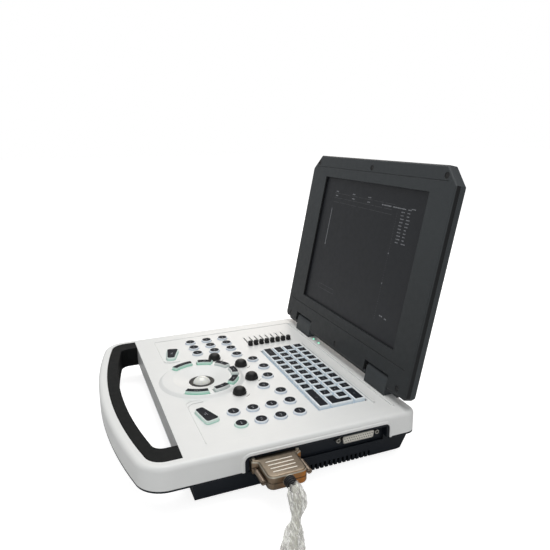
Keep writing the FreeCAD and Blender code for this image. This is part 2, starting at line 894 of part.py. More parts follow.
def enter_key():
    """The L-shaped key that spans the second and third rows."""
    pitch, row = size("key_pitch"), size("row_pitch")
    right = size("keyboard_left") + pitch * 12
    front = size("keyboard_front") + row
    wide = key_blank("enter_wide", right - pitch * 1.5, front, right, front + row)
    tall = key_blank("enter_tall", right - pitch * 0.75, front, right, front + row * 2)
    return fuse("enter_key", [wide, tall])


def round_button(x, y):
    low = panel_plus(MAT_HIGH + BUTTON_SLACK)
    height = size("button_rise") - MAT_HIGH - BUTTON_SLACK
    blank = cylinder("button_blank", size("button_radius"), height, x, y, low)
    top = DIMENSIONS["panel_top"] + DIMENSIONS["button_rise"]
    return round_corners("button", blank, 0.8, lambda edge: is_level(edge, top))


def button_group(name, places):
    return compound(name, [round_button(x, y) for x, y in places])


def arc_key(name, key):
    low = panel_plus(MAT_HIGH + BUTTON_SLACK)
    return arc_sector(name, key, low, panel_plus(size("arc_key_rise")))


def wedge_key(name):
    place, side = WEDGE_KEYS[name]
    low = panel_plus(MAT_HIGH + BUTTON_SLACK)
    return wedge_body(name, place, side, low, panel_plus(size("wedge_key_rise")))


def knob(name, x, y):
    """A dome knob on a round shaft that runs in its encoder."""
    shaft = cylinder(f"{name}_shaft", size("shaft_radius"), 9.5, x, y, panel_plus(-8.5))
    radius, rise = size("knob_radius"), size("knob_rise")
    skirt = cone(f"{name}_skirt", radius, radius - 0.6, rise, x, y, panel_plus(0))
    top = DIMENSIONS["panel_top"] + DIMENSIONS["knob_rise"]
    dome = round_corners(f"{name}_dome", skirt, 4.5, lambda edge: is_level(edge, top))
    return fuse(name, [dome, shaft])


def encoders():
    items = []
    for x, y in KNOB_PLACES:
        low = panel_plus(BOARD_HIGH)
        body = box("encoder_body", (x - ENCODER_HALF, y - ENCODER_HALF, low),
                   (x + ENCODER_HALF, y + ENCODER_HALF, low + 6))
        bush = cylinder("encoder_bush", 3.8, 5.0, x, y, low + 5.9)
        bore = cylinder("encoder_bore", size("shaft_radius") + RUNNING_GAP, 12, x, y, low + 2)
        items.append(cut("encoder", fuse("encoder_blank", [body, bush]), [bore]))
    return compound("encoders", items)


def slider_bank():
    """The row of slide potentiometers; a groove in each guides its slider's stem."""
    low = panel_plus(BOARD_HIGH)
    blank = box("bank_blank", bank_corner(0, low), bank_far_corner(0, panel_plus(-2.8)))
    tools = []
    for number in range(SLIDER_COUNT):
        y = size("slider_front") + size("slider_pitch") * number
        start = (size("slider_end") - 1, y - 0.85, panel_plus(-8))
        tools.append(box("bank_groove", start, (size("slider_rest") + 3.5, y + 0.85, panel_plus(0))))
        gap = y + size("slider_pitch") / 2
        if number < SLIDER_COUNT - 1:
            tools.append(box("bank_gap", (-121, gap - 0.5, panel_plus(-9)), (-73, gap + 0.5, panel_plus(0))))
    return cut("slider_bank", blank, tools)


def slider(name, number):
    y = size("slider_front") + size("slider_pitch") * number
    x = size("slider_rest")
    stem = box(f"{name}_stem", (x - 2, y - 0.7, panel_plus(-7.5)), (x + 2, y + 0.7, panel_plus(1)))
    foot = box(f"{name}_foot", (x - 3.4, y - 3.3, panel_plus(0.1)), (x + 3.4, y + 3.3, panel_plus(2.5)))
    grip = box(f"{name}_grip", (x - 3, y - 3, panel_plus(2)), (x + 3, y + 3, panel_plus(6.6)))
    return fuse(name, [stem, foot, grip])


def trackball():
    centre = panel_plus(-size("ball_sink"))
    return sphere("trackball", size("ball_radius"), BALL_SIDE, size("ball_front"), centre)


def trackball_ring():
    ball = (BALL_SIDE, size("ball_front"))
    outer = cylinder("ring_outer", RING_HOLE - 0.3, 2.0, *ball, panel_plus(-4.5))
    bore = cone("ring_bore", 11.75, 10.85, 2.2, *ball, panel_plus(-4.6))
    return cut("trackball_ring", outer, [bore])


def trackball_housing():
    """A cup with a round seat that clears the ball by a running gap."""
    ball = (BALL_SIDE, size("ball_front"))
    cup = cylinder("cup_blank", 17.0, 20.45, *ball, panel_plus(-25))
    centre = panel_plus(-size("ball_sink"))
    seat = sphere("cup_seat", size("ball_radius") + 0.3, *ball, centre)
    mouth = cylinder("cup_mouth", size("ball_radius") + 0.3, 8, *ball, centre)
    return cut("trackball_housing", cup, [seat, mouth])


# ---------------------------------------------------------------- inside

def main_board():
    return box("main_board", (-62, -62, 6), (145, 112, 7.6))


def battery_pack():
    blank = box("battery_blank", (-146, -62, 2.6), (-68, 76, 22))
    return round_corners("battery_pack", blank, 3.0, lambda edge: is_level(edge, 22))


FAN_CENTRE = (-158.0, 101.0, 18.5)
FAN_BLADES = 7


def fan_frame():
    x, y, z = FAN_CENTRE
    blank = box("fan_blank", (x, y - 15, z - 15), (x + 10, y + 15, z + 15))
    bore = rod("fan_bore", 14, 12, x - 1, y, z, (1, 0, 0))
    strut = box("fan_strut", (x + 8.6, y - 15, z - 1.5), (x + 10, y + 15, z + 1.5))
    pin = rod("fan_pin", 1.2, 6, x + 3, y, z, (1, 0, 0))
    return fuse("fan_frame", [cut("fan_ring", blank, [bore]), strut, pin])


def fan_blade(number):
    """A flat blade set at an angle, turned round the fan's axis."""
    x, y, z = FAN_CENTRE
    blade = doc.addObject("Part::Box", f"fan_blade_{number}")
    for side, length in (("Length", 5.5), ("Width", 0.8), ("Height", 8.7)):
        bind(blade, side, length)
    turn = Rotation(Vector(1, 0, 0), 360 / FAN_BLADES * number)
    twist = Rotation(Vector(0, 0, 1), 30)
    root = Placement(Vector(0, -0.4, 4.5), Rotation())
    blade.Placement = Placement(Vector(x + 2, y, z), turn.multiply(twist)).multiply(root)
    return blade


def fan_rotor():
    x, y, z = FAN_CENTRE
    hub = rod("fan_hub", 5.5, 6.5, x + 1.5, y, z, (1, 0, 0))
    blades = [fan_blade(number) for number in range(FAN_BLADES)]
    bore = rod("fan_rotor_bore", 1.2 + RUNNING_GAP, 6, x + 2.6, y, z, (1, 0, 0))
    return cut("fan_rotor", fuse("fan_rotor_blank", [hub] + blades), [bore])


# ---------------------------------------------------------------- lid, drawn lying on its back

LID_SCREWS = [(x, along) for x in (-147.0, 1.0, 147.0) for along in (18.0, 256.0)]


def stand_up(item):
    """Tilt a finished lid piece from its own flat frame to its open place."""
    item.Placement = Placement(Vector(0, 0, 0), Rotation(Vector(1, 0, 0), 90 - LID_TILT))
    return move(item, 0, size("lid_foot"), size("panel_top"))


def lid_outline(sketch, margin):
    """The lid's outline, shrunk by a margin: cut top corners and small cut bottom corners."""
    half = size("lid_half") - margin
    low = size("lid_low") + margin
    high = size("lid_high") - margin
    slope = size("lid_chamfer") - margin * 0.59
    foot = 4.0
    polygon(
        sketch,
        [(-half + foot, low), (half - foot, low), (half, low + foot), (half, high - slope),
         (half - slope, high), (-half + slope, high), (-half, high - slope), (-half, low + foot)],
    )


def lid_block(name, margin, low, high):
    body = new_body(name)
    sketch = new_sketch(body, f"{name}_plan", offset=low)
    lid_outline(sketch, margin)
    pad(body, sketch, Size.of(high) - low)
    return body


def hinge_notches(name, margin, low, high):
    """Both gaps in the lid's lower edge where the hinge blocks stand."""
    inner, outer = size("hinge_inner") - margin, size("hinge_outer") + margin
    top = size("hinge_along") + size("notch_rise") + margin
    notches = []
    for start, end in ((-outer, -inner), (inner, outer)):
        notches.append(box(name, (start, 0, low), (end, top, high)))
    return notches


def hinge_bores(name):
    """Room for both hinge pins, along the hinge axis in the lid's frame."""
    bores = []
    length = size("hinge_outer") - size("hinge_inner") + 16
    axis = (size("hinge_along"), -size("hinge_behind"))
    for start in (-size("hinge_outer") - 8, size("hinge_inner") - 8):
        bores.append(rod(name, size("pin_radius") + 0.1, length, start, *axis, (1, 0, 0)))
    return bores


def lid_hollow(name, low, high):
    block = lid_block(f"{name}_block", size("wall"), low, high)
    return cut(name, block, hinge_notches(f"{name}_keep", 2.5, low - 1, high + 1))


def lid_bezel():
    split = -size("bezel_depth")
    body = lid_block("bezel_block", 0, split, 0)
    round_edges(body, 2.5, lambda edge: is_level(edge, 0))
    window = box(
        "bezel_window",
        (size("window_left"), size("window_low"), split - 1),
        (size("window_right"), size("window_high"), 1),
    )
    hollow = lid_hollow("bezel_hollow", split - 1, -size("wall"))
    shell = cut("bezel_shell", body, [window, hollow])
    bosses = [cylinder("bezel_boss", 4.0, 3.6, x, along, split + 0.05) for x, along in LID_SCREWS]
    tools = hinge_notches("bezel_notch", 0, split - 1, 1) + hinge_bores("bezel_bore")
    for x, along in LID_SCREWS:
        tools.append(cylinder("bezel_screw_hole", 1.7, 12, x, along, -10))
        tools.append(cylinder("bezel_counterbore", 3.7, 3, x, along, -1.6))
    for along in (41.5, 250.0):
        tools.append(box("bezel_groove", (-152, along, -0.5), (152, along + 0.9, 1)))
    return stand_up(cut("lid_bezel", fuse("bezel_solid", [shell] + bosses), tools))


def lid_back_cover():
    split, back = -size("bezel_depth"), -size("lid_depth")
    body = lid_block("cover_block", 0, back, split)
    depth = DIMENSIONS["lid_depth"]
    round_edges(body, 3.0, lambda edge: is_level(edge, -depth))
    hollow = lid_hollow("cover_hollow", back + size("wall"), split + 1)
    shell = cut("cover_shell", body, [hollow])
    bosses = [cylinder("cover_boss", 4.0, 6.4, x, along, back + 1.95) for x, along in LID_SCREWS]
    tools = hinge_notches("cover_notch", 0, back - 1, split + 1) + hinge_bores("cover_bore")
    sunk = box("cover_field", (-128.0, 46.0, back - 1), (128.0, 236.0, back + 0.8))
    tools.append(round_corners("cover_field_round", sunk, 10.0, is_upright))
    tools += [cylinder("cover_screw_hole", 1.5, 6, x, along, back + 3.5) for x, along in LID_SCREWS]
    return stand_up(cut("lid_back_cover", fuse("cover_solid", [shell] + bosses), tools))


def lcd_panel():
    margin = 6.0
    low = (size("window_left") - margin, size("window_low") - margin, -9.3)
    high = (size("window_right") + margin, size("window_high") + margin, -3.3)
    return stand_up(compound("lcd_panel", [box("lcd_slab", low, high)]))


def lid_screws():
    screws = []
    for x, along in LID_SCREWS:
        head = cylinder("lid_screw_head", 3.4, 1.2, x, along, -1.6)
        shank = cylinder("lid_screw_shank", 1.4, 7.6, x, along, -9.1)
        slot = box("lid_screw_slot", (x - 2.4, along - 0.4, -0.8), (x + 2.4, along + 0.4, 0))
        screws.append(cut("lid_screw", fuse("lid_screw_blank", [head, shank]), [slot]))
    return stand_up(compound("lid_screws", screws))


def hinge_arms():
    """For each hinge a steel pin with an arm on each end; the arms are held inside the lid."""
    along, behind = size("hinge_along"), size("hinge_behind")
    items = []
    for side in (-1, 1):
        inner, outer = size("hinge_inner") - 6, size("hinge_outer") + 6
        start = inner if side > 0 else -outer
        pieces = [rod("hinge_pin", size("pin_radius"), outer - inner, start, along, -behind, (1, 0, 0))]
        for x in (start, start + (outer - inner) - 2.5):
            pieces.append(box("hinge_arm", (x, along - 4, -behind - 4), (x + 2.5, along + 26, -behind + 3)))
        items.append(fuse("hinge_arm_set", pieces))
    return stand_up(compound("hinge_arms", items))


def hinge_socket(side):
    """The hole in the panel that a hinge block's spigot drops into."""
    return hinge_spigot("hinge_socket", side, 0.2)


def hinge_spigot(name, side, gap):
    inner, outer = size("hinge_inner") + 8 - gap, size("hinge_outer") - 8 + gap
    start, end = (inner, outer) if side > 0 else (-outer, -inner)
    return box(name, (start, 147.5 - gap, panel_plus(-6 - gap)), (end, 154 + gap, panel_plus(1)))


def hinge_axis():
    """Y and Z of the lid's turning axis."""
    tilt = math.radians(LID_TILT)
    along, behind = size("hinge_along"), size("hinge_behind")
    y = size("lid_foot") + along * math.sin(tilt) + behind * math.cos(tilt)
    z = size("panel_top") + along * math.cos(tilt) - behind * math.sin(tilt)
    return y, z


def hinge_neck(start, length):
    """The upright part of a hinge block; its front lies in the plane of the open lid's face."""
    y, z = hinge_axis()
    tilt = math.radians(LID_TILT)
    radius = size("barrel_radius")
    foot_front = size("lid_foot") + (size("hinge_behind") - radius) / math.cos(tilt)
    neck = new_body("hinge_neck")
    profile = new_sketch(neck, "hinge_neck_profile", "YZ_Plane", start)
    polygon(profile, [(foot_front, size("panel_top")), (y + radius, size("panel_top")), (y + radius, z),
                      (y, z), (y - radius * math.cos(tilt), z + radius * math.sin(tilt))])
    pad(neck, profile, length)
    return neck


def hinge_blocks():
    """One block at each hinge; it leaves a gap at the left end of the lid's notch."""
    y, z = hinge_axis()
    left_gap, right_gap = 6.5, 0.5
    length = size("hinge_outer") - size("hinge_inner") - left_gap - right_gap
    blocks = []
    for side, notch_left in ((-1, -size("hinge_outer")), (1, size("hinge_inner"))):
        start = notch_left + left_gap
        barrel = rod("hinge_barrel", size("barrel_radius"), length, start, y, z, (1, 0, 0))
        spigot = hinge_spigot("hinge_spigot", side, 0)
        solid = fuse("hinge_solid", [hinge_neck(start, length), barrel, spigot])
        bore = rod("hinge_bore", size("pin_radius") + RUNNING_GAP, length + 2, start - 1, y, z, (1, 0, 0))
        blocks.append(cut("hinge_block", solid, [bore]))
    return compound("hinge_blocks", blocks)


# ---------------------------------------------------------------- transducer sockets and plug

PLUG_PLACES = ("plug_socket", "free_socket")
# half sizes of a 25-way connector's flange, and of the moulding behind it
FLANGE_WIDE, FLANGE_HIGH = 26.5, 6.2
MOULDING_WIDE, MOULDING_HIGH = 19.0, 5.0


def shell_corners(grow):
    """The corners of a 25-way D-shaped shell, as (across, up) offsets from its centre."""
    wide, narrow, high = 19.48 + grow, 18.0 + grow, 4.18 + grow
    return [(-narrow, -high), (narrow, -high), (wide, high), (-wide, high)]


def connector_slab(name, centre, half, start, end):
    """A flat block along +X round the centre of a connector; half is its half width and height."""
    height = size("socket_height")
    wide, high = half
    return box(name, (start, centre - wide, height - high), (end, centre + wide, height + high))


def jack_rod(name, radius, length, x, place, side):
    """A rod along +X on the axis of one of a connector's two jack screws."""
    y = size(place) + size("jack_pitch") / 2 * side
    return rod(name, radius, length, x, y, size("socket_height"), (1, 0, 0))


def shell_block(name, centre, grow, start, end):
    """A D-shaped block along +X round the centre of a socket."""
    body = new_body(name)
    sketch = new_sketch(body, f"{name}_plan", "YZ_Plane", start)
    height = size("socket_height")
    polygon(sketch, [(centre + across, height + up) for across, up in shell_corners(grow)])
    pad(body, sketch, Size.of(end) - start)
    round_edges(body, 2.0 + grow, runs_across)
    return body


def pin_places():
    """The 13 and 12 contacts of a 25-way connector."""
    pitch, row = 2.76, 1.42
    upper = [(pitch * (number - 6), row) for number in range(13)]
    lower = [(pitch * (number - 5.5), -row) for number in range(12)]
    return upper + lower


def contact_rods(name, place, radius, length, x):
    """A rod along +X on the axis of each contact of a connector."""
    centre, height = size(place), size("socket_height")
    return [rod(name, radius, length, x, centre + across, height + up, (1, 0, 0))
            for across, up in pin_places()]


def probe_socket(place):
    face = size("panel_face")
    centre = size(place)
    flange = connector_slab(f"{place}_flange", centre, (FLANGE_WIDE, FLANGE_HIGH), face - 3, face - 2)
    nose = shell_block(f"{place}_nose", centre, 0, face - 2.5, face + 6)
    rear = connector_slab(f"{place}_rear", centre, (MOULDING_WIDE, MOULDING_HIGH), face - 12, face - 2.5)
    tools = contact_rods(f"{place}_contact", place, 0.5, 5, face + 2)
    tools += [jack_rod(f"{place}_jack_hole", 1.7, 4, face - 4, place, side) for side in (-1, 1)]
    return cut(f"{place}_body", fuse(f"{place}_solid", [flange, nose, rear]), tools)


def probe_sockets():
    return compound("probe_sockets", [probe_socket(place) for place in PLUG_PLACES])


def screw_locks():
    """Hexagonal jack screws: a threaded tail through the flange and a threaded bore for the plug's screw."""
    locks = []
    face = size("panel_face")
    for place in PLUG_PLACES:
        for side in (-1, 1):
            y = size(place) + size("jack_pitch") / 2 * side
            head = doc.addObject("Part::Prism", "lock_head")
            head.Polygon = 6
            bind(head, "Circumradius", 2.6)
            bind(head, "Height", 7.0)
            head.Placement.Rotation = Rotation(Vector(0, 0, 1), Vector(1, 0, 0))
            move(head, face - 2, y, size("socket_height"))
            tail = jack_rod("lock_tail", 1.4, 7, face - 8, place, side)
            bore = jack_rod("lock_bore", LOCK_BORE, 7, face, place, side)
            locks.append(cut("screw_lock", fuse("lock_solid", [head, tail]), [bore]))
    return compound("screw_locks", locks)


def plug_start():
    """The X of the plug's flange when it is home."""
    return size("panel_face") + 6.2


def plug_shell():
    start = plug_start()
    centre = size("plug_socket")
    flange = connector_slab("plug_flange", centre, (FLANGE_WIDE, FLANGE_HIGH), start, start + 1)
    skirt = shell_block("plug_skirt", centre, 0.75, start - 5.6, start + 0.5)
    inside = shell_block("plug_inside", centre, 0.15, start - 6, start + 0.2)
    contacts = contact_rods("plug_contact", "plug_socket", 0.42, 4.6, start - 3.9)
    insert = connector_slab("plug_insert", centre, (MOULDING_WIDE, MOULDING_HIGH), start + 0.5, start + 6)
    hollow = cut("plug_hollow", fuse("plug_solid", [flange, skirt]), [inside])
    holes = [jack_rod("plug_screw_hole", 1.6, 4, start - 1, "plug_socket", side) for side in (-1, 1)]
    return cut("plug_shell", fuse("plug_whole", [hollow, insert] + contacts), holes)


def hood_plan(sketch, margin):
    """The hood's plan: two ears at the flange, and a straight body with rounded front corners."""
    start = plug_start() + 1.1
    centre = size("plug_socket")
    half = size("hood_width") / 2 - margin
    body = half - HOOD_EAR
    nose = start + size("hood_length") - margin
    radius = HOOD_CORNER - margin
    first = start if margin == 0 else start - 1
    right = [(first, half), (start + 8, half), (start + 11, body)]
    for degrees in (0, 22.5, 45, 67.5, 90):
        angle = math.radians(degrees)
        right.append((nose - radius * (1 - math.sin(angle)), body - radius * (1 - math.cos(angle))))
    left = [(x, centre - y) for x, y in reversed(right)]
    polygon(sketch, [(x, centre + y) for x, y in right] + left)


def hood_half():
    """The upper half; its open side is the plane through the connector's centre."""
    height = size("socket_height")
    thickness = size("hood_thickness") / 2
    body = new_body("hood_block")
    outline = new_sketch(body, "hood_outline", offset=height + 0.05)
    hood_plan(outline, 0)
    pad(body, outline, thickness - 0.05)
    top = DIMENSIONS["socket_height"] + DIMENSIONS["hood_thickness"] / 2
    start = plug_start().value + 1.1
    round_edges(body, 1.8, lambda edge: is_level(edge, top) and edge.BoundBox.XMax > start + 0.1)
    inside = new_sketch(body, "hood_inside", offset=height + 0.05)
    hood_plan(inside, 1.6)
    pocket(body, inside, thickness - 1.65, upward=True)
    centre = size("plug_socket")
    tools = [rod("hood_exit", 5.1, 12, plug_start() + 32, centre, height, (1, 0, 0))]
    tools += [jack_rod("hood_screw_way", 3.4, 42, plug_start(), "plug_socket", side) for side in (-1, 1)]
    return cut("hood_upper", body, tools)


def hood_lower(upper):
    item = doc.addObject("Part::Mirroring", "hood_lower")
    item.Source = upper
    item.Normal = Vector(0, 0, 1)
    bind(item, "Base.z", size("socket_height"))
    return item


def thumbscrew(name, side):
    """A long screw: tip in the jack screw, collar behind the flange, slotted head beside the hood."""
    x = plug_start()
    y = size("plug_socket") + size("jack_pitch") / 2 * side
    height = size("socket_height")
    stretches = (("tip", LOCK_BORE - RUNNING_GAP, 9, -1.6), ("collar", 2.4, 2, 1.4),
                 ("stem", 1.5, 20, 2), ("head", 2.7, 18, 16.5))
    rods = [jack_rod(f"{name}_{stretch}", radius, length, x + start, "plug_socket", side)
            for stretch, radius, length, start in stretches]
    slot = box(f"{name}_slot", (x + 33.3, y - 3.5, height - 0.45), (x + 35, y + 3.5, height + 0.45))
    return cut(name, fuse(f"{name}_solid", rods), [slot])


def strain_relief():
    """A ribbed rubber sleeve, held in the hood's exit by a groove."""
    x = plug_start() + 33
    centre, height = size("plug_socket"), size("socket_height")
    core = rod("relief_core", 4.9, 19, x, centre, height, (1, 0, 0))
    rings = []
    for number in range(4):
        ring_x = x + 8.4 + 2.9 * number
        rings.append(rod("relief_ring", 6.3 - 0.25 * number, 1.6, ring_x, centre, height, (1, 0, 0)))
    bore = rod("relief_bore", size("cable_radius") + 0.1, 22, x - 1, centre, height, (1, 0, 0))
    return cut("strain_relief", fuse("relief_solid", [core] + rings), [bore])


def cable_path():
    """The cable's centre line: straight out of the plug, a droop to the desk, and along it."""
    centre, height = DIMENSIONS["plug_socket"], DIMENSIONS["socket_height"]
    start = Vector(plug_start().value + 18, centre, height)
    leave = Vector(plug_start().value + 52.6, centre, height)
    turn = math.radians(CABLE_TURN)
    heading = Vector(math.cos(turn), -math.sin(turn), 0)
    land = Vector(leave.x + 44, centre - 21, DIMENSIONS["sleeve_radius"] - FOOT_HEIGHT)
    sleeve_end = land + heading * 45
    droop = Part.BezierCurve()
    droop.setPoles([leave, leave + Vector(14, 0, 0), land - heading * 24, land])
    return {
        "inside": Part.LineSegment(start, leave).toShape(),
        "droop": droop.toShape(),
        "sleeved": Part.LineSegment(land, sleeve_end).toShape(),
        "bare": Part.LineSegment(sleeve_end, sleeve_end + heading * 20).toShape(),
    }


def swept_rod(name, radius, stretches):
    """A round rod along some stretches of the cable's path."""
    edges = [edge for stretch, edge in cable_path().items() if stretch in stretches]
    path = doc.addObject("Part::Feature", f"{name}_path")
    path.Shape = Part.Wire(edges)
    first = path.Shape.Edges[0]
    ring = doc.addObject("Part::Circle", f"{name}_ring")
    bind(ring, "Radius", radius)
    start = first.FirstParameter
    ring.Placement = Placement(first.valueAt(start), Rotation(Vector(0, 0, 1), first.tangentAt(start)))
    sweep = doc.addObject("Part::Sweep", name)
    sweep.Sections = [ring]
    sweep.Spine = (path, [f"Edge{number}" for number in range(1, len(edges) + 1)])
    sweep.Solid = True
    sweep.Frenet = False
    return sweep


SLEEVED = ("droop", "sleeved")


def probe_cable():
    return swept_rod("probe_cable", size("cable_radius"), ("inside", "droop", "sleeved", "bare"))


def cable_sleeve():
    outer = swept_rod("sleeve_outer", size("sleeve_radius"), SLEEVED)
    inner = swept_rod("sleeve_inner", size("cable_radius") + 0.3, SLEEVED)
    return cut("cable_sleeve", outer, [inner])


# ---------------------------------------------------------------- assembly

def build_parts():
    upper_hood = hood_half()
    parts = [
        upper_case(), lower_case(), grip_liner(), port_panel(), case_screws(), rubber_feet(), led_lenses(),
        control_board(), keypad_mat(), enter_key(), encoders(), slider_bank(),
        button_group("buttons_left", left_button_places()),
        button_group("buttons_arc", arc_button_places()),
        button_group("buttons_right", right_button_places()),
        compound("arc_keys", [arc_key("arc_key", key) for key in ARC_KEYS]),
        trackball(), trackball_ring(), trackball_housing(),
        main_board(), battery_pack(), fan_frame(), fan_rotor(),
        lid_bezel(), lid_back_cover(), lcd_panel(), lid_screws(), hinge_arms(), hinge_blocks(),
        probe_sockets(), screw_locks(), plug_shell(), upper_hood, hood_lower(upper_hood),
        thumbscrew("thumbscrew_front", -1), thumbscrew("thumbscrew_back", 1),
        strain_relief(), probe_cable(), cable_sleeve(),
    ]
    parts += [key_row(name, number) for number, name in enumerate(KEY_ROWS)]
    parts += [arc_key(name, key) for name, key in SELECT_KEYS.items()]
    parts += [wedge_key(name) for name in WEDGE_KEYS]
    parts += [knob(f"knob_{number}", x, y) for number, (x, y) in enumerate(KNOB_PLACES, start=1)]
    parts += [slider(f"slider_{number + 1}", number) for number in range(SLIDER_COUNT)]
    return parts


def check_document():
    for item in doc.Objects:
        if "Invalid" in item.State or "Error" in item.State:
            raise ValueError(f"{item.Label} did not compute")


def export_parts(parts):
    os.makedirs("parts", exist_ok=True)
    for part in parts:
        if part.Shape.isNull() or not part.Shape.isValid():
            raise ValueError(f"{part.Label} has no valid shape")
        part.Shape.exportStep(f"parts/{part.Label}.step")


fill_sheet()
PARTS = build_parts()
doc.recompute()
check_document()
export_parts(PARTS)
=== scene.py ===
import json
import math
import random

import bmesh
import bpy
from mathutils import Matrix, Vector, noise


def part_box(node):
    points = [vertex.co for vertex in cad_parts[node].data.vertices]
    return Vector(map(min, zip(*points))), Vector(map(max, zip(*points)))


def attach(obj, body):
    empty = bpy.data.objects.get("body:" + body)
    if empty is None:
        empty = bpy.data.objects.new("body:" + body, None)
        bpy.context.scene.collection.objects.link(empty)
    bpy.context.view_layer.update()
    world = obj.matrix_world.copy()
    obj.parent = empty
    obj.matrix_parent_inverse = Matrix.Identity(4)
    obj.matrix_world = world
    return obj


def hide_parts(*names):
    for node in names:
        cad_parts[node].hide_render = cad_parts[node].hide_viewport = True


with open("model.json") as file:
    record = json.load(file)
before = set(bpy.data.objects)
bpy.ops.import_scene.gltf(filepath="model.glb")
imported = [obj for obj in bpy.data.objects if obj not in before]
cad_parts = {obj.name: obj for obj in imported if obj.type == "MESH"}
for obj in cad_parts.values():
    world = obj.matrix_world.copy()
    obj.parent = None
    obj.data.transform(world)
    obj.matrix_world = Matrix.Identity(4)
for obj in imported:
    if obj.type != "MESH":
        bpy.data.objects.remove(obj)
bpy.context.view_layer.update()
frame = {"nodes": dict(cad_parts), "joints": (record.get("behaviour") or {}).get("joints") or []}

# Lengths in this script are millimetres; new_piece() turns them into Blender's metres.
MM = 0.001
FLOOR = -3.0
PANEL_TOP = 48.0
PANEL_SURFACE = 47.5
MOUND_CREST = 51.0

# ---------------------------------------------------------------- places, read from the frame


def box_mm(node):
    low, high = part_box(node)
    return low / MM, high / MM


def centre_mm(node):
    low, high = box_mm(node)
    return (low + high) / 2


def solids(node):
    """The lowest and highest corners of each separate solid in a CAD node."""
    mesh = bmesh.new()
    mesh.from_mesh(frame["nodes"][node].data)
    bmesh.ops.remove_doubles(mesh, verts=mesh.verts, dist=1e-6)
    unseen = set(mesh.verts)
    boxes = []
    while unseen:
        stack = [unseen.pop()]
        members = []
        while stack:
            vertex = stack.pop()
            members.append(vertex.co.copy())
            for edge in vertex.link_edges:
                other = edge.other_vert(vertex)
                if other in unseen:
                    unseen.discard(other)
                    stack.append(other)
        low = Vector([min(point[axis] for point in members) for axis in range(3)])
        high = Vector([max(point[axis] for point in members) for axis in range(3)])
        boxes.append((low / MM, high / MM))
    mesh.free()
    return sorted(boxes, key=lambda pair: (round(pair[0].y, 1), round(pair[0].x, 1)))


# ---------------------------------------------------------------- outlines, always anticlockwise


def circle(x, y, radius, count=32):
    turns = [2 * math.pi * step / count for step in range(count)]
    return [(x + radius * math.cos(turn), y + radius * math.sin(turn)) for turn in turns]


def rounded(corners, radii, inset=0.0, steps=4):
    """A closed outline through the corners, moved inwards by the inset, with round corners."""
    points = []
    count = len(corners)
    for index in range(count):
        radius = radii[index] if isinstance(radii, list) else radii
        before, here, after = (Vector(corners[(index + shift) % count]) for shift in (-1, 0, 1))
        arriving = (here - before).normalized()
        leaving = (after - here).normalized()
        normal_in = Vector((-arriving.y, arriving.x))
        normal_out = Vector((-leaving.y, leaving.x))
        bisector = (normal_in + normal_out) / (1 + normal_in.dot(normal_out))
        outward = 1 if arriving.cross(leaving) > 0 else -1
        reach = max(radius - outward * inset, 0.05)
        centre = here + bisector * inset + bisector * reach * outward
        turn = math.atan2(normal_in.cross(normal_out), normal_in.dot(normal_out))
        for step in range(steps + 1):
            spoke = Matrix.Rotation(turn * step / steps, 2) @ normal_in
            points.append(tuple(centre - spoke * reach * outward))
    return points


def rectangle(low, high):
    return [(low.x, low.y), (high.x, low.y), (high.x, high.y), (low.x, high.y)]


def bent(points, centre, radius):
    """Points of a strip (distance along, distance out) wrapped round a centre, clockwise from +Y."""
    out = []
    for along, outward in points:
        angle = math.pi / 2 - along / radius
        out.append((centre.x + outward * math.cos(angle), centre.y + outward * math.sin(angle)))
    return out[::-1]


# ---------------------------------------------------------------- meshes


class Form:
    """A mesh being built from rings of points, with a material number for each face."""

    def __init__(self):
        self.points = []
        self.faces = []
        self.looks = []

    def ring(self, points):
        first = len(self.points)
        self.points += [tuple(point) for point in points]
        return list(range(first, len(self.points)))

    def face(self, corners, look):
        self.faces.append(tuple(corners))
        self.looks.append(look)

    def skin(self, one, two, look=0, closed=True):
        """Faces between two rings; the second lies above the first."""
        count = len(one)
        for index in range(count if closed else count - 1):
            after = (index + 1) % count
            self.face((one[index], one[after], two[after], two[index]), look)

    def stack(self, outline, levels):
        """A solid from an outline function; each level is (height, inset, material of the face below it)."""
        rings = []
        for height, inset, _ in levels:
            rings.append(self.ring([(x, y, height) for x, y in outline(inset)]))
        self.face(rings[0][::-1], levels[0][2])
        for below, above, level in zip(rings, rings[1:], levels[1:]):
            self.skin(below, above, level[2])
        self.face(rings[-1], levels[-1][2])

    def block(self, low, high, look=0, bevel=0.15):
        """A box with bevelled upright corners and a bevelled top and bottom."""
        corners = rectangle(low, high)
        outline = lambda inset: rounded(corners, bevel * 2, inset, 2)
        self.stack(outline, [(low.z, bevel, look), (low.z + bevel, 0, look),
                             (high.z - bevel, 0, look), (high.z, bevel, look)])

    def turned(self, place, profile, count=48, look=0, looks=None):
        """A solid of revolution about +Z through a place; the profile is (radius, height) upwards."""
        rings = []
        for radius, height in profile:
            outline = circle(place[0], place[1], radius, count)
            rings.append(self.ring([(x, y, place[2] + height) for x, y in outline]))
        self.face(rings[0][::-1], look)
        for number, (below, above) in enumerate(zip(rings, rings[1:])):
            self.skin(below, above, looks[number] if looks else look)
        self.face(rings[-1], looks[-1] if looks else look)

    def tube(self, path, radii, count=16, look=0, caps=True):
        """A tube along a path of points; radii is a number or a function of (step, turn)."""
        rings = []
        up = Vector((0, 0, 1))
        for step, place in enumerate(path):
            ahead = path[min(step + 1, len(path) - 1)] - path[max(step - 1, 0)]
            side = ahead.cross(up).normalized()
            top = side.cross(ahead).normalized()
            points = []
            for number in range(count):
                turn = 2 * math.pi * number / count
                radius = radii(step, turn) if callable(radii) else radii
                points.append(place + (side * math.cos(turn) + top * math.sin(turn)) * radius)
            rings.append(self.ring(points))
        for below, above in zip(rings, rings[1:]):
            self.skin(below, above, look)
        if caps:
            self.face(rings[0][::-1], look)
            self.face(rings[-1], look)


SHARP_ANGLE = 38.0


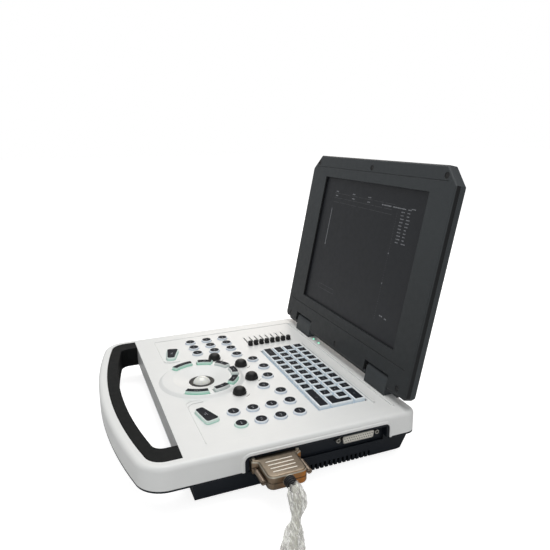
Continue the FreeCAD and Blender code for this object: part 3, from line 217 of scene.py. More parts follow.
def new_piece(name, form, body, materials, place=None):
    """A Blender object from a form; the place is a matrix in millimetres."""
    mesh = bpy.data.meshes.new(name)
    points = form.points
    if place is not None:
        points = [place @ Vector(point) for point in points]
    mesh.from_pydata([Vector(point) * MM for point in points], [], form.faces)
    for made in materials:
        mesh.materials.append(made)
    mesh.polygons.foreach_set("material_index", form.looks)
    mesh.validate()
    shell = bmesh.new()
    shell.from_mesh(mesh)
    bmesh.ops.recalc_face_normals(shell, faces=shell.faces)
    shell.to_mesh(mesh)
    shell.free()
    mesh.shade_smooth()
    mesh.set_sharp_from_angle(angle=math.radians(SHARP_ANGLE))
    item = bpy.data.objects.new(name, mesh)
    bpy.context.scene.collection.objects.link(item)
    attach(item, body)
    return item


# ---------------------------------------------------------------- materials


class Look:
    """A node material: a Principled shader and helpers that feed its sockets."""

    def __init__(self, name):
        self.material = bpy.data.materials.new(name)
        self.material.use_nodes = True
        self.tree = self.material.node_tree
        self.shader = self.tree.nodes["Principled BSDF"]
        self.coordinates = self.node("ShaderNodeTexCoord").outputs["Object"]

    def node(self, kind, **settings):
        made = self.tree.nodes.new(kind)
        for name, value in settings.items():
            setattr(made, name, value)
        return made

    def link(self, output, target):
        self.tree.links.new(output, target)

    def put(self, socket, value):
        if hasattr(value, "is_linked"):
            self.link(value, self.shader.inputs[socket])
        else:
            self.shader.inputs[socket].default_value = value

    def stretched(self, stretch):
        """Texture coordinates in millimetres, stretched along an axis."""
        mapping = self.node("ShaderNodeMapping")
        self.link(self.coordinates, mapping.inputs["Vector"])
        mapping.inputs["Scale"].default_value = [share / MM for share in stretch]
        return mapping.outputs["Vector"]

    def noise(self, size, detail=3.0, stretch=(1, 1, 1), distortion=0.0):
        """Noise with features about `size` millimetres across."""
        texture = self.node("ShaderNodeTexNoise")
        self.link(self.stretched(stretch), texture.inputs["Vector"])
        texture.inputs["Scale"].default_value = 1.0 / size
        texture.inputs["Detail"].default_value = detail
        texture.inputs["Distortion"].default_value = distortion
        return texture.outputs["Fac"]

    def ramp(self, value, low, high, out_low=0.0, out_high=1.0):
        made = self.node("ShaderNodeMapRange")
        self.link(value, made.inputs["Value"])
        settings = zip(("From Min", "From Max", "To Min", "To Max"), (low, high, out_low, out_high))
        for socket, number in settings:
            made.inputs[socket].default_value = number
        return made.outputs["Result"]

    def mix(self, share, one, two):
        """A colour between two colours; each may be a tuple or another node's output."""
        made = self.node("ShaderNodeMix", data_type="RGBA")
        for socket, value in ((made.inputs[0], share), (made.inputs[6], one), (made.inputs[7], two)):
            if hasattr(value, "is_linked"):
                self.link(value, socket)
            else:
                socket.default_value = (*value, 1.0) if isinstance(value, tuple) else value
        return made.outputs[2]

    def relief(self, height, depth, soften=0.0):
        """Bump from a height texture, over edges that are softened by a radius."""
        bump = self.node("ShaderNodeBump")
        bump.inputs["Strength"].default_value = 1.0
        bump.inputs["Distance"].default_value = depth * MM
        self.link(height, bump.inputs["Height"])
        if soften:
            bevel = self.node("ShaderNodeBevel", samples=4)
            bevel.inputs["Radius"].default_value = soften * MM
            self.link(bevel.outputs["Normal"], bump.inputs["Normal"])
        self.link(bump.outputs["Normal"], self.shader.inputs["Normal"])

    def edge_share(self, radius, contrast=6.0):
        """Near 1 close to sharp edges and 0 on flat faces."""
        bevel = self.node("ShaderNodeBevel", samples=4)
        bevel.inputs["Radius"].default_value = radius * MM
        geometry = self.node("ShaderNodeNewGeometry")
        product = self.node("ShaderNodeVectorMath", operation="DOT_PRODUCT")
        self.link(bevel.outputs["Normal"], product.inputs[0])
        self.link(geometry.outputs["Normal"], product.inputs[1])
        return self.ramp(product.outputs["Value"], 1.0, 1.0 - 1.0 / contrast)


def shade(color, factor):
    return tuple(part * factor for part in color)


def moulded(name, color, roughness, grain=0.5, depth=0.02, mottle=0.06, soften=0.0, wear_and_edge_highlight=0.0, coat=0.0,
            metallic=0.0, stretch=(1, 1, 1)):
    """A moulded or cast surface: grain in the relief, uneven colour and gloss, and paler edges that are
    partly wear and partly painted highlight.
    """
    look = Look(name)
    patches = look.ramp(look.noise(24.0, 4.0, stretch), 0.3, 0.7)
    tone = look.mix(patches, shade(color, 1 - mottle), shade(color, 1 + mottle))
    # Paler edges: partly wear, partly a painted highlight along the edges.
    if wear_and_edge_highlight:
        tone = look.mix(look.ramp(look.edge_share(0.6), 0, 1, 0, wear_and_edge_highlight), tone, (0.5, 0.5, 0.49))
    look.put("Base Color", tone)
    gloss = look.noise(7.0, 3.0, stretch)
    look.put("Roughness", look.ramp(gloss, 0.3, 0.7, roughness - 0.05, roughness + 0.05))
    look.put("Metallic", metallic)
    look.put("Coat Weight", coat)
    look.relief(look.noise(grain, 2.0, stretch), depth, soften)
    return look


def brushed(name, color, roughness):
    """Turned metal with fine marks along X."""
    return moulded(name, color, roughness, 0.3, 0.02, 0.15, 0.2, metallic=1.0, stretch=(1, 6, 6)).material


def casing_white():
    look = moulded("casing_white", (0.80, 0.81, 0.80), 0.38, 0.35, 0.006, 0.012, 0.5)
    look.put("Specular IOR Level", 0.5)
    return look.material


def tray_black():
    look = moulded("tray_black", (0.007, 0.010, 0.015), 0.46, 0.5, 0.03, 0.15, 0.5, 0.03)
    look.put("Specular IOR Level", 0.25)
    return look.material


LID_TONE = (0.040, 0.046, 0.050)


def lid_black():
    look = moulded("lid_black", LID_TONE, 0.50, 0.45, 0.012, 0.04, 0.6, 0.05)
    look.put("Specular IOR Level", 0.35)
    return look.material


def bezel_black():
    """The lid's plastic with painted shade: its narrow side walls much darker than its face, and its face
    darker towards the bottom.
    """
    look = moulded("bezel_black", LID_TONE, 0.50, 0.45, 0.012, 0.04, 0.6)
    split = look.node("ShaderNodeSeparateXYZ")
    look.link(look.node("ShaderNodeTexCoord").outputs["Normal"], split.inputs["Vector"])
    sideways = look.node("ShaderNodeMath", operation="ABSOLUTE")
    look.link(split.outputs["X"], sideways.inputs[0])
    place = look.node("ShaderNodeSeparateXYZ")
    look.link(look.coordinates, place.inputs["Vector"])
    # Painted shade: the face darkens towards the lid's lower edge.
    height = look.ramp(place.outputs["Z"], 0.05, 0.25)
    patches = look.ramp(look.noise(24.0), 0.3, 0.7, 0.96, 1.0)
    tone = look.mix(height, shade(LID_TONE, 0.42), shade(LID_TONE, 1.04))
    face = look.mix(patches, shade(LID_TONE, 0.7), tone)
    # Painted shade: faces turned to the sides are made much darker.
    painted_side_shade = look.ramp(sideways.outputs["Value"], 0.75, 0.95)
    look.put("Base Color", look.mix(painted_side_shade, face, (0.020, 0.021, 0.022)))
    look.put("Specular IOR Level", look.ramp(painted_side_shade, 0, 1, 0.4, 0.1))
    return look.material


def grip_black():
    look = moulded("grip_black", (0.009, 0.010, 0.010), 0.72, 0.9, 0.03, 0.06, 0.8, 0.03)
    look.put("Specular IOR Level", 0.12)
    return look.material


def foot_rubber():
    return moulded("foot_rubber", (0.02, 0.02, 0.02), 0.7, 1.2, 0.08, 0.2, 0.4).material


def knob_black():
    look = moulded("knob_black", (0.011, 0.011, 0.011), 0.45, 0.5, 0.012, 0.15, 0.0, 0.02)
    look.put("Specular IOR Level", 0.25)
    return look.material


def label_black():
    look = moulded("label_black", (0.011, 0.013, 0.018), 0.62, 0.3, 0.004, 0.12)
    look.put("Specular IOR Level", 0.12)
    return look.material


def legend_grey():
    look = moulded("legend_grey", (0.33, 0.35, 0.38), 0.5, 0.3, 0.004, 0.1)
    return look.material


def glowing(name, deep, pale, strength, low=PANEL_SURFACE, reach=2.6):
    """Translucent silicone that is lit from below: deeper in colour near its foot, paler above."""
    look = moulded(name, pale, 0.42, 0.4, 0.008, 0.02)
    look.put("Subsurface Weight", 0.3)
    look.put("Subsurface Radius", (0.002, 0.002, 0.002))
    look.put("Specular IOR Level", 0.3)
    split = look.node("ShaderNodeSeparateXYZ")
    look.link(look.coordinates, split.inputs["Vector"])
    height = look.ramp(split.outputs["Z"], low * MM, (low + reach) * MM)
    patches = look.ramp(look.noise(9.0, 2.0), 0.3, 0.7, 0.94, 1.0)
    tone = look.mix(height, deep, pale)
    look.put("Base Color", look.mix(patches, shade(pale, 0.9), tone))
    look.put("Emission Color", tone)
    look.put("Emission Strength", look.ramp(height, 0.0, 1.0, strength, strength * 0.3))
    return look.material


def skirt_blue():
    return glowing("skirt_blue", (0.62, 0.70, 0.80), (0.78, 0.81, 0.84), 0.08)


def skirt_cyan():
    return glowing("skirt_cyan", (0.66, 0.75, 0.82), (0.77, 0.82, 0.85), 0.10)


def skirt_green():
    return glowing("skirt_green", (0.50, 0.78, 0.67), (0.72, 0.82, 0.78), 0.10)


def skirt_ring():
    return glowing("skirt_ring", (0.32, 0.72, 0.55), (0.60, 0.78, 0.71), 0.10, MOUND_CREST)


def skirt_pale():
    return glowing("skirt_pale", (0.66, 0.74, 0.73), (0.74, 0.77, 0.76), 0.04, MOUND_CREST)


def mat_blue():
    return glowing("mat_blue", (0.68, 0.76, 0.83), (0.74, 0.81, 0.86), 0.12, 44.0)


def ball_white():
    look = moulded("ball_white", (0.80, 0.81, 0.77), 0.10, 2.0, 0.0, 0.03, coat=0.5)
    look.put("Subsurface Weight", 0.2)
    look.put("Subsurface Radius", (0.003, 0.003, 0.002))
    return look.material


def screw_steel():
    return brushed("screw_steel", (0.50, 0.49, 0.46), 0.28)


def screw_black():
    return moulded("screw_black", (0.03, 0.03, 0.03), 0.35, 0.3, 0.02, 0.2, 0.2, 0.1, metallic=0.6).material


def nickel():
    return moulded("nickel", (0.46, 0.45, 0.41), 0.34, 0.25, 0.015, 0.1, 0.2, metallic=1.0).material


def bronze():
    """Cast metal: olive grey on top and towards the front, orange on the faces turned to the cable end, more
    so towards +Y.
    """
    look = moulded("bronze", (0.5, 0.4, 0.3), 0.36, 0.3, 0.02, 0.1, 0.3, metallic=1.0)
    geometry = look.node("ShaderNodeNewGeometry")
    split = look.node("ShaderNodeSeparateXYZ")
    look.link(geometry.outputs["Normal"], split.inputs["Vector"])
    patches = look.ramp(look.noise(6.0, 3.0), 0.35, 0.65)
    cool = look.mix(patches, (0.20, 0.165, 0.125), (0.25, 0.205, 0.155))
    warm = look.mix(patches, (0.50, 0.19, 0.04), (0.36, 0.17, 0.06))
    place = look.node("ShaderNodeSeparateXYZ")
    look.link(look.coordinates, place.inputs["Vector"])
    right = look.ramp(place.outputs["Y"], -0.022, 0.006, 0.12, 1.0)
    front = look.node("ShaderNodeMath", operation="MULTIPLY")
    look.link(look.ramp(split.outputs["X"], 0.35, 0.85), front.inputs[0])
    look.link(right, front.inputs[1])
    look.put("Base Color", look.mix(front.outputs["Value"], cool, warm))
    return look.material


def screw_bronze():
    return brushed("screw_bronze", (0.30, 0.24, 0.19), 0.34)


def rib_pale():
    return moulded("rib_pale", (0.90, 0.84, 0.74), 0.45, 0.3, 0.01, 0.05).material


# Pale metal: the ear screws' own colour, and a painted highlight on the hood's band just below its top edge.
def screw_metal_and_painted_edge_highlight():
    return moulded("screw_metal_and_painted_edge_highlight", (0.46, 0.42, 0.34), 0.36, 0.3, 0.01, 0.1, metallic=0.7).material


def relief_black():
    return moulded("relief_black", (0.012, 0.013, 0.016), 0.4, 0.5, 0.03, 0.2).material


def collar_pale():
    return moulded("collar_pale", (0.62, 0.56, 0.46), 0.4, 0.4, 0.02, 0.1).material


def cable_cream():
    look = moulded("cable_cream", (0.74, 0.74, 0.66), 0.45, 0.8, 0.03, 0.05)
    look.put("Subsurface Weight", 0.1)
    look.put("Subsurface Radius", (0.002, 0.002, 0.001))
    return look.material


def film_clear():
    """Thin crumpled plastic film: clear, with milky creases, pale streaks that are partly painted highlight,
    and a bright sheen painted in as more opacity towards grazing angles.
    """
    look = Look("film_clear")
    # Pale streaks in the colour: partly whitened film, partly painted highlights on the folds.
    streaks = look.noise(2.2, 3.0, (0.22, 1.8, 0.6), 0.4)
    look.put("Base Color", look.mix(look.ramp(streaks, 0.42, 0.58), (0.52, 0.50, 0.48), (0.90, 0.91, 0.85)))
    look.put("Roughness", 0.16)
    look.put("IOR", 1.45)
    creases = look.noise(3.0, 3.0, (0.35, 1.6, 0.5), 0.4)
    facing = look.node("ShaderNodeLayerWeight")
    facing.inputs["Blend"].default_value = 0.35
    milk = look.ramp(creases, 0.44, 0.60, 0.30, 0.88)
    # Painted sheen: the film turns more opaque, and so paler, towards grazing angles.
    edge = look.ramp(facing.outputs["Facing"], 0.45, 1.0, 0.28, 0.70)
    total = look.node("ShaderNodeMath", operation="MAXIMUM")
    look.link(milk, total.inputs[0])
    look.link(edge, total.inputs[1])
    look.put("Alpha", total.outputs["Value"])
    look.relief(look.noise(3.5, 3.0, (0.35, 1.6, 0.5), 0.5), 0.5)
    return look.material


def screen_dark():
    look = moulded("screen_dark", (0.021, 0.023, 0.027), 0.42, 0.2, 0.0, 0.03)
    look.put("Specular IOR Level", 0.3)
    return look.material


def screen_line():
    look = moulded("screen_line", (0.05, 0.05, 0.055), 0.5, 0.3, 0.0, 0.1)
    look.put("Emission Color", (0.75, 0.80, 0.85, 1.0))
    look.put("Emission Strength", 0.03)
    return look.material


def screen_light():
    look = moulded("screen_light", (0.12, 0.12, 0.13), 0.5, 0.3, 0.0, 0.1)
    look.put("Emission Color", (0.75, 0.80, 0.85, 1.0))
    look.put("Emission Strength", 0.12)
    return look.material


def lamp_green():
    look = moulded("lamp_green", (0.2, 0.7, 0.45), 0.2, 0.4, 0.0, 0.05)
    look.put("Emission Color", (0.35, 1.0, 0.70, 1.0))
    look.put("Emission Strength", 0.7)
    return look.material


def board_green():
    look = moulded("board_green", (0.02, 0.12, 0.06), 0.35, 0.8, 0.03, 0.2)
    return look.material


def cell_blue():
    return moulded("cell_blue", (0.04, 0.07, 0.2), 0.35, 1.0, 0.02, 0.15).material


def print_grey():
    return moulded("print_grey", (0.10, 0.10, 0.10), 0.5, 0.3, 0.003, 0.1).material


def insert_cream():
    return moulded("insert_cream", (0.66, 0.64, 0.57), 0.5, 0.4, 0.01, 0.05).material


# Near black for the socket holes: painted shade on the discs that stand for them.
def painted_hole_shade():
    return moulded("painted_hole_shade", (0.02, 0.02, 0.02), 0.6, 0.4, 0.01, 0.1).material


MAKERS = (
    casing_white, tray_black, lid_black, bezel_black, grip_black, foot_rubber, knob_black,
    label_black, legend_grey,
    skirt_blue, skirt_cyan, skirt_green, skirt_ring, skirt_pale, mat_blue, ball_white, screw_steel,
    screw_black, nickel, bronze, rib_pale, screw_metal_and_painted_edge_highlight, relief_black, collar_pale, screw_bronze, cable_cream,
    film_clear, screen_dark, screen_line, screen_light, lamp_green, board_green, cell_blue, print_grey,
    insert_cream, painted_hole_shade,
)
LOOKS = {maker.__name__: maker() for maker in MAKERS}

NODE_LOOKS = {
    "upper_case": "casing_white", "lower_case": "tray_black", "grip_liner": "grip_black",
    "port_panel": "tray_black", "case_screws": "screw_steel", "rubber_feet": "foot_rubber",
    "led_lenses": "lamp_green", "control_board": "board_green", "keypad_mat": "mat_blue",
    "encoders": "screw_steel", "slider_bank": "tray_black", "trackball_housing": "tray_black",
    "main_board": "board_green", "battery_pack": "cell_blue", "fan_frame": "tray_black",
    "fan_rotor": "tray_black", "lid_bezel": "bezel_black", "lid_back_cover": "lid_black",
    "lcd_panel": "screen_dark", "lid_screws": "screw_black", "hinge_arms": "screw_steel",
    "hinge_blocks": "lid_black", "probe_sockets": "nickel", "screw_locks": "nickel",
    "plug_shell": "nickel", "thumbscrew_front": "screw_bronze", "thumbscrew_back": "screw_bronze",
}


def dress_nodes():
    """Give every CAD node that stays in view its material."""
    for node, look in NODE_LOOKS.items():
        mesh = frame["nodes"][node].data
        mesh.materials.clear()
        mesh.materials.append(LOOKS[look])


# ---------------------------------------------------------------- keys and buttons

SKIRT, LABEL, MARK = 0, 1, 2
KEY_LABEL_INSET = 1.7


def key_levels(low, high, label_inset):
    """Skirt, rounded shoulder, and a slightly sunk label."""
    return [
        (low, 0.15, SKIRT), (low + 0.6, 0.0, SKIRT), (high - 1.1, 0.10, SKIRT), (high - 0.45, 0.32, SKIRT),
        (high - 0.12, label_inset * 0.6, SKIRT), (high - 0.02, label_inset, SKIRT),
        (high + 0.08, label_inset + 0.04, LABEL), (high + 0.08, label_inset + 0.5, LABEL),
        (high - 0.08, label_inset + 1.6, LABEL),
    ]


def bar(form, x, y, length, width, angle, low, look, height=0.07):
    """A thin printed stroke."""
    turn = Matrix.Rotation(math.radians(angle), 2)
    half = Vector((length / 2, width / 2))
    corners = [turn @ Vector((sx * half.x, sy * half.y)) for sx, sy in ((-1, -1), (1, -1), (1, 1), (-1, 1))]
    places = [(x + corner.x, y + corner.y) for corner in corners]
    form.stack(lambda inset: places, [(low, 0, look), (low + height, 0, look)])


def key_mark(form, x, y, level, chance):
    """A small generic legend: a short stroke with a dot or a second stroke."""
    bar(form, x - 0.5, y, 1.7, 0.34, chance.choice((0, 90)), level, MARK)
    bar(form, x + 1.0, y + chance.choice((-0.7, 0.7)), 0.55, 0.5, 0, level, MARK)


def key_rows():
    chance = random.Random(5)
    for number in range(1, 5):
        node = f"key_row_{number}"
        form = Form()
        for low, high in solids(node):
            corners = rectangle(low, high)
            form.stack(lambda inset: rounded(corners, 1.5, inset), key_levels(low.z, high.z, KEY_LABEL_INSET))
            middle = (low + high) / 2
            key_mark(form, middle.x, middle.y, high.z - 0.1, chance)
        finish_keys(node, form, "skirt_cyan")


def enter_key():
    low, high = box_mm("enter_key")
    wide = high.x - low.x
    step_y = (low.y + high.y) / 2 - 0.8
    step_x = low.x + wide / 2
    corners = [(low.x, low.y), (high.x, low.y), (high.x, high.y), (step_x, high.y), (step_x, step_y),
               (low.x, step_y)]
    form = Form()
    form.stack(lambda inset: rounded(corners, 1.3, inset), key_levels(low.z, high.z, KEY_LABEL_INSET)[:-1])
    bar(form, high.x - wide / 4, (low.y + high.y) / 2, 2.6, 0.36, 90, high.z, MARK)
    bar(form, high.x - wide / 4 - 1.2, (low.y + high.y) / 2 - 1.3, 2.4, 0.36, 0, high.z, MARK)
    finish_keys("enter_key", form, "skirt_cyan")


def finish_keys(node, form, skirt):
    looks = [LOOKS[skirt], LOOKS["label_black"], LOOKS["legend_grey"]]
    item = new_piece(f"{node}_caps", form, node, looks)
    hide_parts(node)


def round_buttons(node, green=()):
    """Round keys; those whose number is in green have a green skirt."""
    chance = random.Random(len(node))
    form = Form()
    for number, (low, high) in enumerate(solids(node)):
        middle = (low + high) / 2
        radius = (high.x - low.x) / 2
        levels = key_levels(low.z, high.z, 1.1)
        if number in green:
            levels = [(height, inset, look + 3 if look == SKIRT else look) for height, inset, look in levels]
        form.stack(lambda inset: circle(middle.x, middle.y, radius - inset, 40), levels)
        bar(form, middle.x - 1.2, middle.y, 2.6, 0.4, chance.choice((0, 0, 90)), high.z - 0.1, MARK)
        bar(form, middle.x + 1.6, middle.y, 0.9, 1.5, 0, high.z - 0.1, MARK)
    looks = [LOOKS[name] for name in ("skirt_blue", "label_black", "legend_grey", "skirt_green")]
    item = new_piece(f"{node}_caps", form, node, looks)
    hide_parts(node)


ARC_INNER, ARC_OUTER = 37.5, 46.5


def arc_form(form, centre, angle, half, inner, outer, low, high, look_shift=0):
    """A key with the plan of a ring sector; the angle is clockwise from straight back."""
    middle = (inner + outer) / 2
    along = math.radians(angle) * middle
    reach = math.radians(half) * middle
    corners = [(along - reach, inner), (along + reach, inner), (along + reach, outer), (along - reach, outer)]

    def outline(inset):
        return bent(dense(rounded(corners, 1.6, inset)), centre, middle)

    levels = [(height, inset, look + look_shift if look == SKIRT else look)
              for height, inset, look in key_levels(low, high, 0.8)]
    form.stack(outline, levels)


def dense(points, longest=2.0):
    """The same outline with long sides split, so that it can bend."""
    out = []
    for index, point in enumerate(points):
        after = points[(index + 1) % len(points)]
        length = math.dist(point, after)
        count = 10 if length > 3 * longest else 1
        for step in range(count):
            share = step / count
            out.append((point[0] + (after[0] - point[0]) * share, point[1] + (after[1] - point[1]) * share))
    return out


def arc_keys():
    """The five keys round the back of the trackball and the two select keys in front of it."""
    ball = centre_mm("trackball")
    form = Form()
    boxes = solids("arc_keys")
    for low, high in boxes:
        middle = (low + high) / 2 - ball
        angle = math.degrees(math.atan2(middle.x, middle.y))
        green = 20 < angle < 60 or angle < -60
        arc_form(form, ball, angle, 13.3, ARC_INNER, ARC_OUTER, low.z, high.z, 3 if green else 0)
        turned = math.radians(90 - angle)
        reach = (ARC_INNER + ARC_OUTER) / 2
        bar(form, ball.x + reach * math.cos(turned), ball.y + reach * math.sin(turned), 3.6, 0.5, -angle,
            high.z - 0.1, MARK)
    looks = [LOOKS[name] for name in ("skirt_pale", "label_black", "legend_grey", "skirt_ring")]
    item = new_piece("arc_keys_caps", form, "arc_keys", looks)
    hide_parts("arc_keys")
    for node, angle in (("select_left", -111), ("select_right", 111)):
        low, high = box_mm(node)
        form = Form()
        arc_form(form, ball, angle, 18.3, ARC_INNER + 1, ARC_OUTER + 0.5, low.z, high.z)
        turned = math.radians(90 - angle)
        for shift in (-3, 0, 3):
            reach = (ARC_INNER + ARC_OUTER) / 2 + 0.7
            along = turned + shift / reach
            bar(form, ball.x + reach * math.cos(along), ball.y + reach * math.sin(along), 1.4, 0.5, -angle,
                high.z - 0.1, MARK)
        finish_keys(node, form, "skirt_ring")


WEDGE_PLACES = {"freeze_key": (92.0, 1), "print_key": (-88.8, -1)}
WEDGE_FRONT = -57.8
WEDGE_LEAN = math.radians(16)
WEDGE_CORNERS = ((-16.6, -5.6), (16.6, -8.7), (16.6, 8.7), (-16.6, 5.6))


def wedge_keys():
    """The two wedge keys; the right one leans clockwise and the left one is its mirror image."""
    for node, (place, side) in WEDGE_PLACES.items():
        low, high = box_mm(node)
        corners = []
        for along, across in WEDGE_CORNERS:
            x = along * math.cos(WEDGE_LEAN) - across * math.sin(WEDGE_LEAN)
            y = along * math.sin(WEDGE_LEAN) + across * math.cos(WEDGE_LEAN)
            corners.append((place + side * x, WEDGE_FRONT + y))
        if side < 0:
            corners.reverse()
        form = Form()
        form.stack(lambda inset: rounded(corners, 4.0, inset, 6), key_levels(low.z, high.z, 1.2))
        tilt = math.degrees(WEDGE_LEAN) * side
        bar(form, place, WEDGE_FRONT + 0.6, 5.5, 0.5, tilt, high.z - 0.1, MARK)
        bar(form, place + 1, WEDGE_FRONT - 1.2, 3.4, 0.45, tilt, high.z - 0.1, MARK)
        finish_keys(node, form, "skirt_green")


# ---------------------------------------------------------------- knobs, sliders, trackball


def finish_cap(node, form):
    looks = [LOOKS["knob_black"], LOOKS["legend_grey"]]
    item = new_piece(f"{node}_cap", form, node, looks)
    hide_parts(node)


def knobs():
    for number in range(1, 5):
        node = f"knob_{number}"
        low, high = box_mm(node)
        middle = (low + high) / 2
        radius = (high.x - low.x) / 2
        top = high.z - PANEL_TOP
        form = Form()
        profile = [(2.9, -8.0), (2.9, 0.02), (radius - 0.3, 0.05), (radius, 0.4), (radius, 1.2),
                   (radius - 0.45, 1.6), (radius - 0.6, top - 5.4)]
        corner = 6.2
        for step in range(1, 11):
            turn = math.pi / 2 * step / 10
            profile.append((radius - 0.6 - corner * (1 - math.cos(turn)), top - 5.4 + 5.3 * math.sin(turn)))
        profile += [(0.9, top - 0.04), (0.4, top)]
        form.turned((middle.x, middle.y, PANEL_TOP), profile, 60)
        bar(form, middle.x - 2.2, middle.y + 1.5, 1.5, 0.5, 145, high.z - 0.16, 1, 0.2)
        finish_cap(node, form)


def sliders():
    for number in range(1, 9):
        node = f"slider_{number}"
        low, high = box_mm(node)
        middle = (low + high) / 2
        form = Form()
        foot = Vector((3.4, 3.3, 0))
        base = rectangle(middle - foot, middle + foot)
        levels = [(PANEL_TOP + 0.1, 0.2, 0), (PANEL_TOP + 0.4, 0, 0), (PANEL_TOP + 1.6, 0.0, 0),
                  (PANEL_TOP + 2.2, 0.35, 0), (PANEL_TOP + 3.4, 0.45, 0), (PANEL_TOP + 5.2, 0.5, 0),
                  (PANEL_TOP + 6.1, 0.9, 0), (high.z, 1.8, 0)]
        form.stack(lambda inset: rounded(base, 2.2, inset, 5), levels)
        stem_low = Vector((middle.x - 2, middle.y - 0.7, low.z))
        form.block(stem_low, Vector((middle.x + 2, middle.y + 0.7, PANEL_TOP + 0.6)))
        bar(form, middle.x, middle.y, 0.4, 2.2, 0, high.z - 0.02, 1)
        finish_cap(node, form)


def trackball():
    low, high = box_mm("trackball")
    middle = (low + high) / 2
    radius = (high.z - low.z) / 2
    form = Form()
    steps = 40
    profile = []
    for step in range(1, steps):
        turn = math.pi * step / steps - math.pi / 2
        profile.append((radius * math.cos(turn), radius * math.sin(turn)))
    form.turned(middle, profile, 80)
    item = new_piece("trackball_polished", form, "trackball", [LOOKS["ball_white"]])
    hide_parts("trackball")

    low, high = box_mm("trackball_ring")
    middle = (low + high) / 2
    outer = (high.x - low.x) / 2
    form = Form()
    rounds = [(11.7, low.z), (outer, low.z), (outer, high.z - 0.4), (outer - 0.4, high.z), (11.4, high.z),
              (10.95, high.z - 0.5)]
    rings = [form.ring([(x, y, level) for x, y in circle(middle.x, middle.y, radius, 64)])
             for radius, level in rounds]
    for one, two in zip(rings, rings[1:] + rings[:1]):
        form.skin(one, two)
    item = new_piece("trackball_bezel", form, "base", [LOOKS["knob_black"]])
    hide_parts("trackball_ring")


# ---------------------------------------------------------------- panel marks


def panel_marks():
    """Printed ticks round the knobs, graduations beside the sliders and small lamp symbols."""
    form = Form()
    level = PANEL_SURFACE
    reach = 12.0
    for number in range(1, 5):
        middle = centre_mm(f"knob_{number}")
        for side in (-1, 1):
            for step in range(7):
                turn = math.radians(90 - side * (30 + step * 5.5))
                bar(form, middle.x + reach * math.cos(turn), middle.y + reach * math.sin(turn),
                    0.30 + 0.16 * step, 1.2, math.degrees(turn), level, 0)
    for number in range(1, 9):
        middle = centre_mm(f"slider_{number}")
        bar(form, middle.x - 34.5, middle.y, 1.2, 0.3, 90, level, 0)
    for low, high in solids("led_lenses"):
        middle = (low + high) / 2
        bar(form, middle.x + 4.2, middle.y, 2.4, 0.4, 0, PANEL_TOP, 0)
        bar(form, middle.x + 4.2, middle.y + 1.2, 1.4, 0.4, 0, PANEL_TOP, 0)
    new_piece("panel_marks", form, "base", [LOOKS["print_grey"]])


def field_bead(start, bend, radius, end):
    """A line from the start to the bend, then a quarter turn towards the end."""
    side = 1 if bend[0] > start[0] else -1
    points = [start, bend]
    for step in range(1, 9):
        turn = math.radians(90 / 8 * step)
        points.append((bend[0] + side * radius * math.sin(turn), bend[1] + radius * (1 - math.cos(turn))))
    return points + [end]


FIELD_BEADS = (
    field_bead((-147, -72), (-74, -72), 9, (-65, -52)),
    field_bead((144, -71.5), (68, -71.5), 10, (58, -52)),
)


def panel_ridges():
    """Two raised lines behind the keyboard, and thin beads along the sunk fields of the wedge keys."""
    form = Form()
    half = 1.3
    for y, left, right in ((140.6, -142, 152), (125.5, -60, 136)):
        low = Vector((left, y - half, PANEL_SURFACE - 0.2))
        form.block(low, Vector((right, y + half, PANEL_TOP + 1.7)), bevel=0.7)
    for bead in FIELD_BEADS:
        form.tube([Vector((x, y, PANEL_TOP - 0.15)) for x, y in bead], 0.55, 10)
    new_piece("panel_ridges", form, "base", [LOOKS["casing_white"]])


# ---------------------------------------------------------------- lid


LID_LEAN = 11.86
FACE_BELOW_PIN, FACE_BEFORE_PIN = 17.6, 6.0


def lid_frame():
    """The lid's own frame, in millimetres: X across, Y up the face, Z out of the face."""
    hinge = next(joint for joint in frame["joints"] if joint["name"] == "lid_hinge")
    turn = Matrix.Rotation(math.radians(90 - LID_LEAN), 4, "X")
    axis = Vector(hinge["pos_m"]) / MM
    origin = Vector((0, -FACE_BELOW_PIN, FACE_BEFORE_PIN))
    return Matrix.Translation(axis) @ turn @ Matrix.Translation(origin)


def lid_lip():
    """A narrow lip under the bezel's lower edge, on each side of the two hinge blocks and between them."""
    left, right = sorted(solids("hinge_blocks"), key=lambda block: block[0].x)
    gap = 2.0
    spans = ((-150.0, left[0].x - gap), (left[1].x + gap, right[0].x - gap), (right[1].x + gap, 150.0))
    form = Form()
    for start, end in spans:
        form.block(Vector((start, 8.0, -3.2)), Vector((end, 13.0, -0.8)), bevel=0.4)
    new_piece("lid_lip", form, "lid", [LOOKS["bezel_black"]], lid_frame())


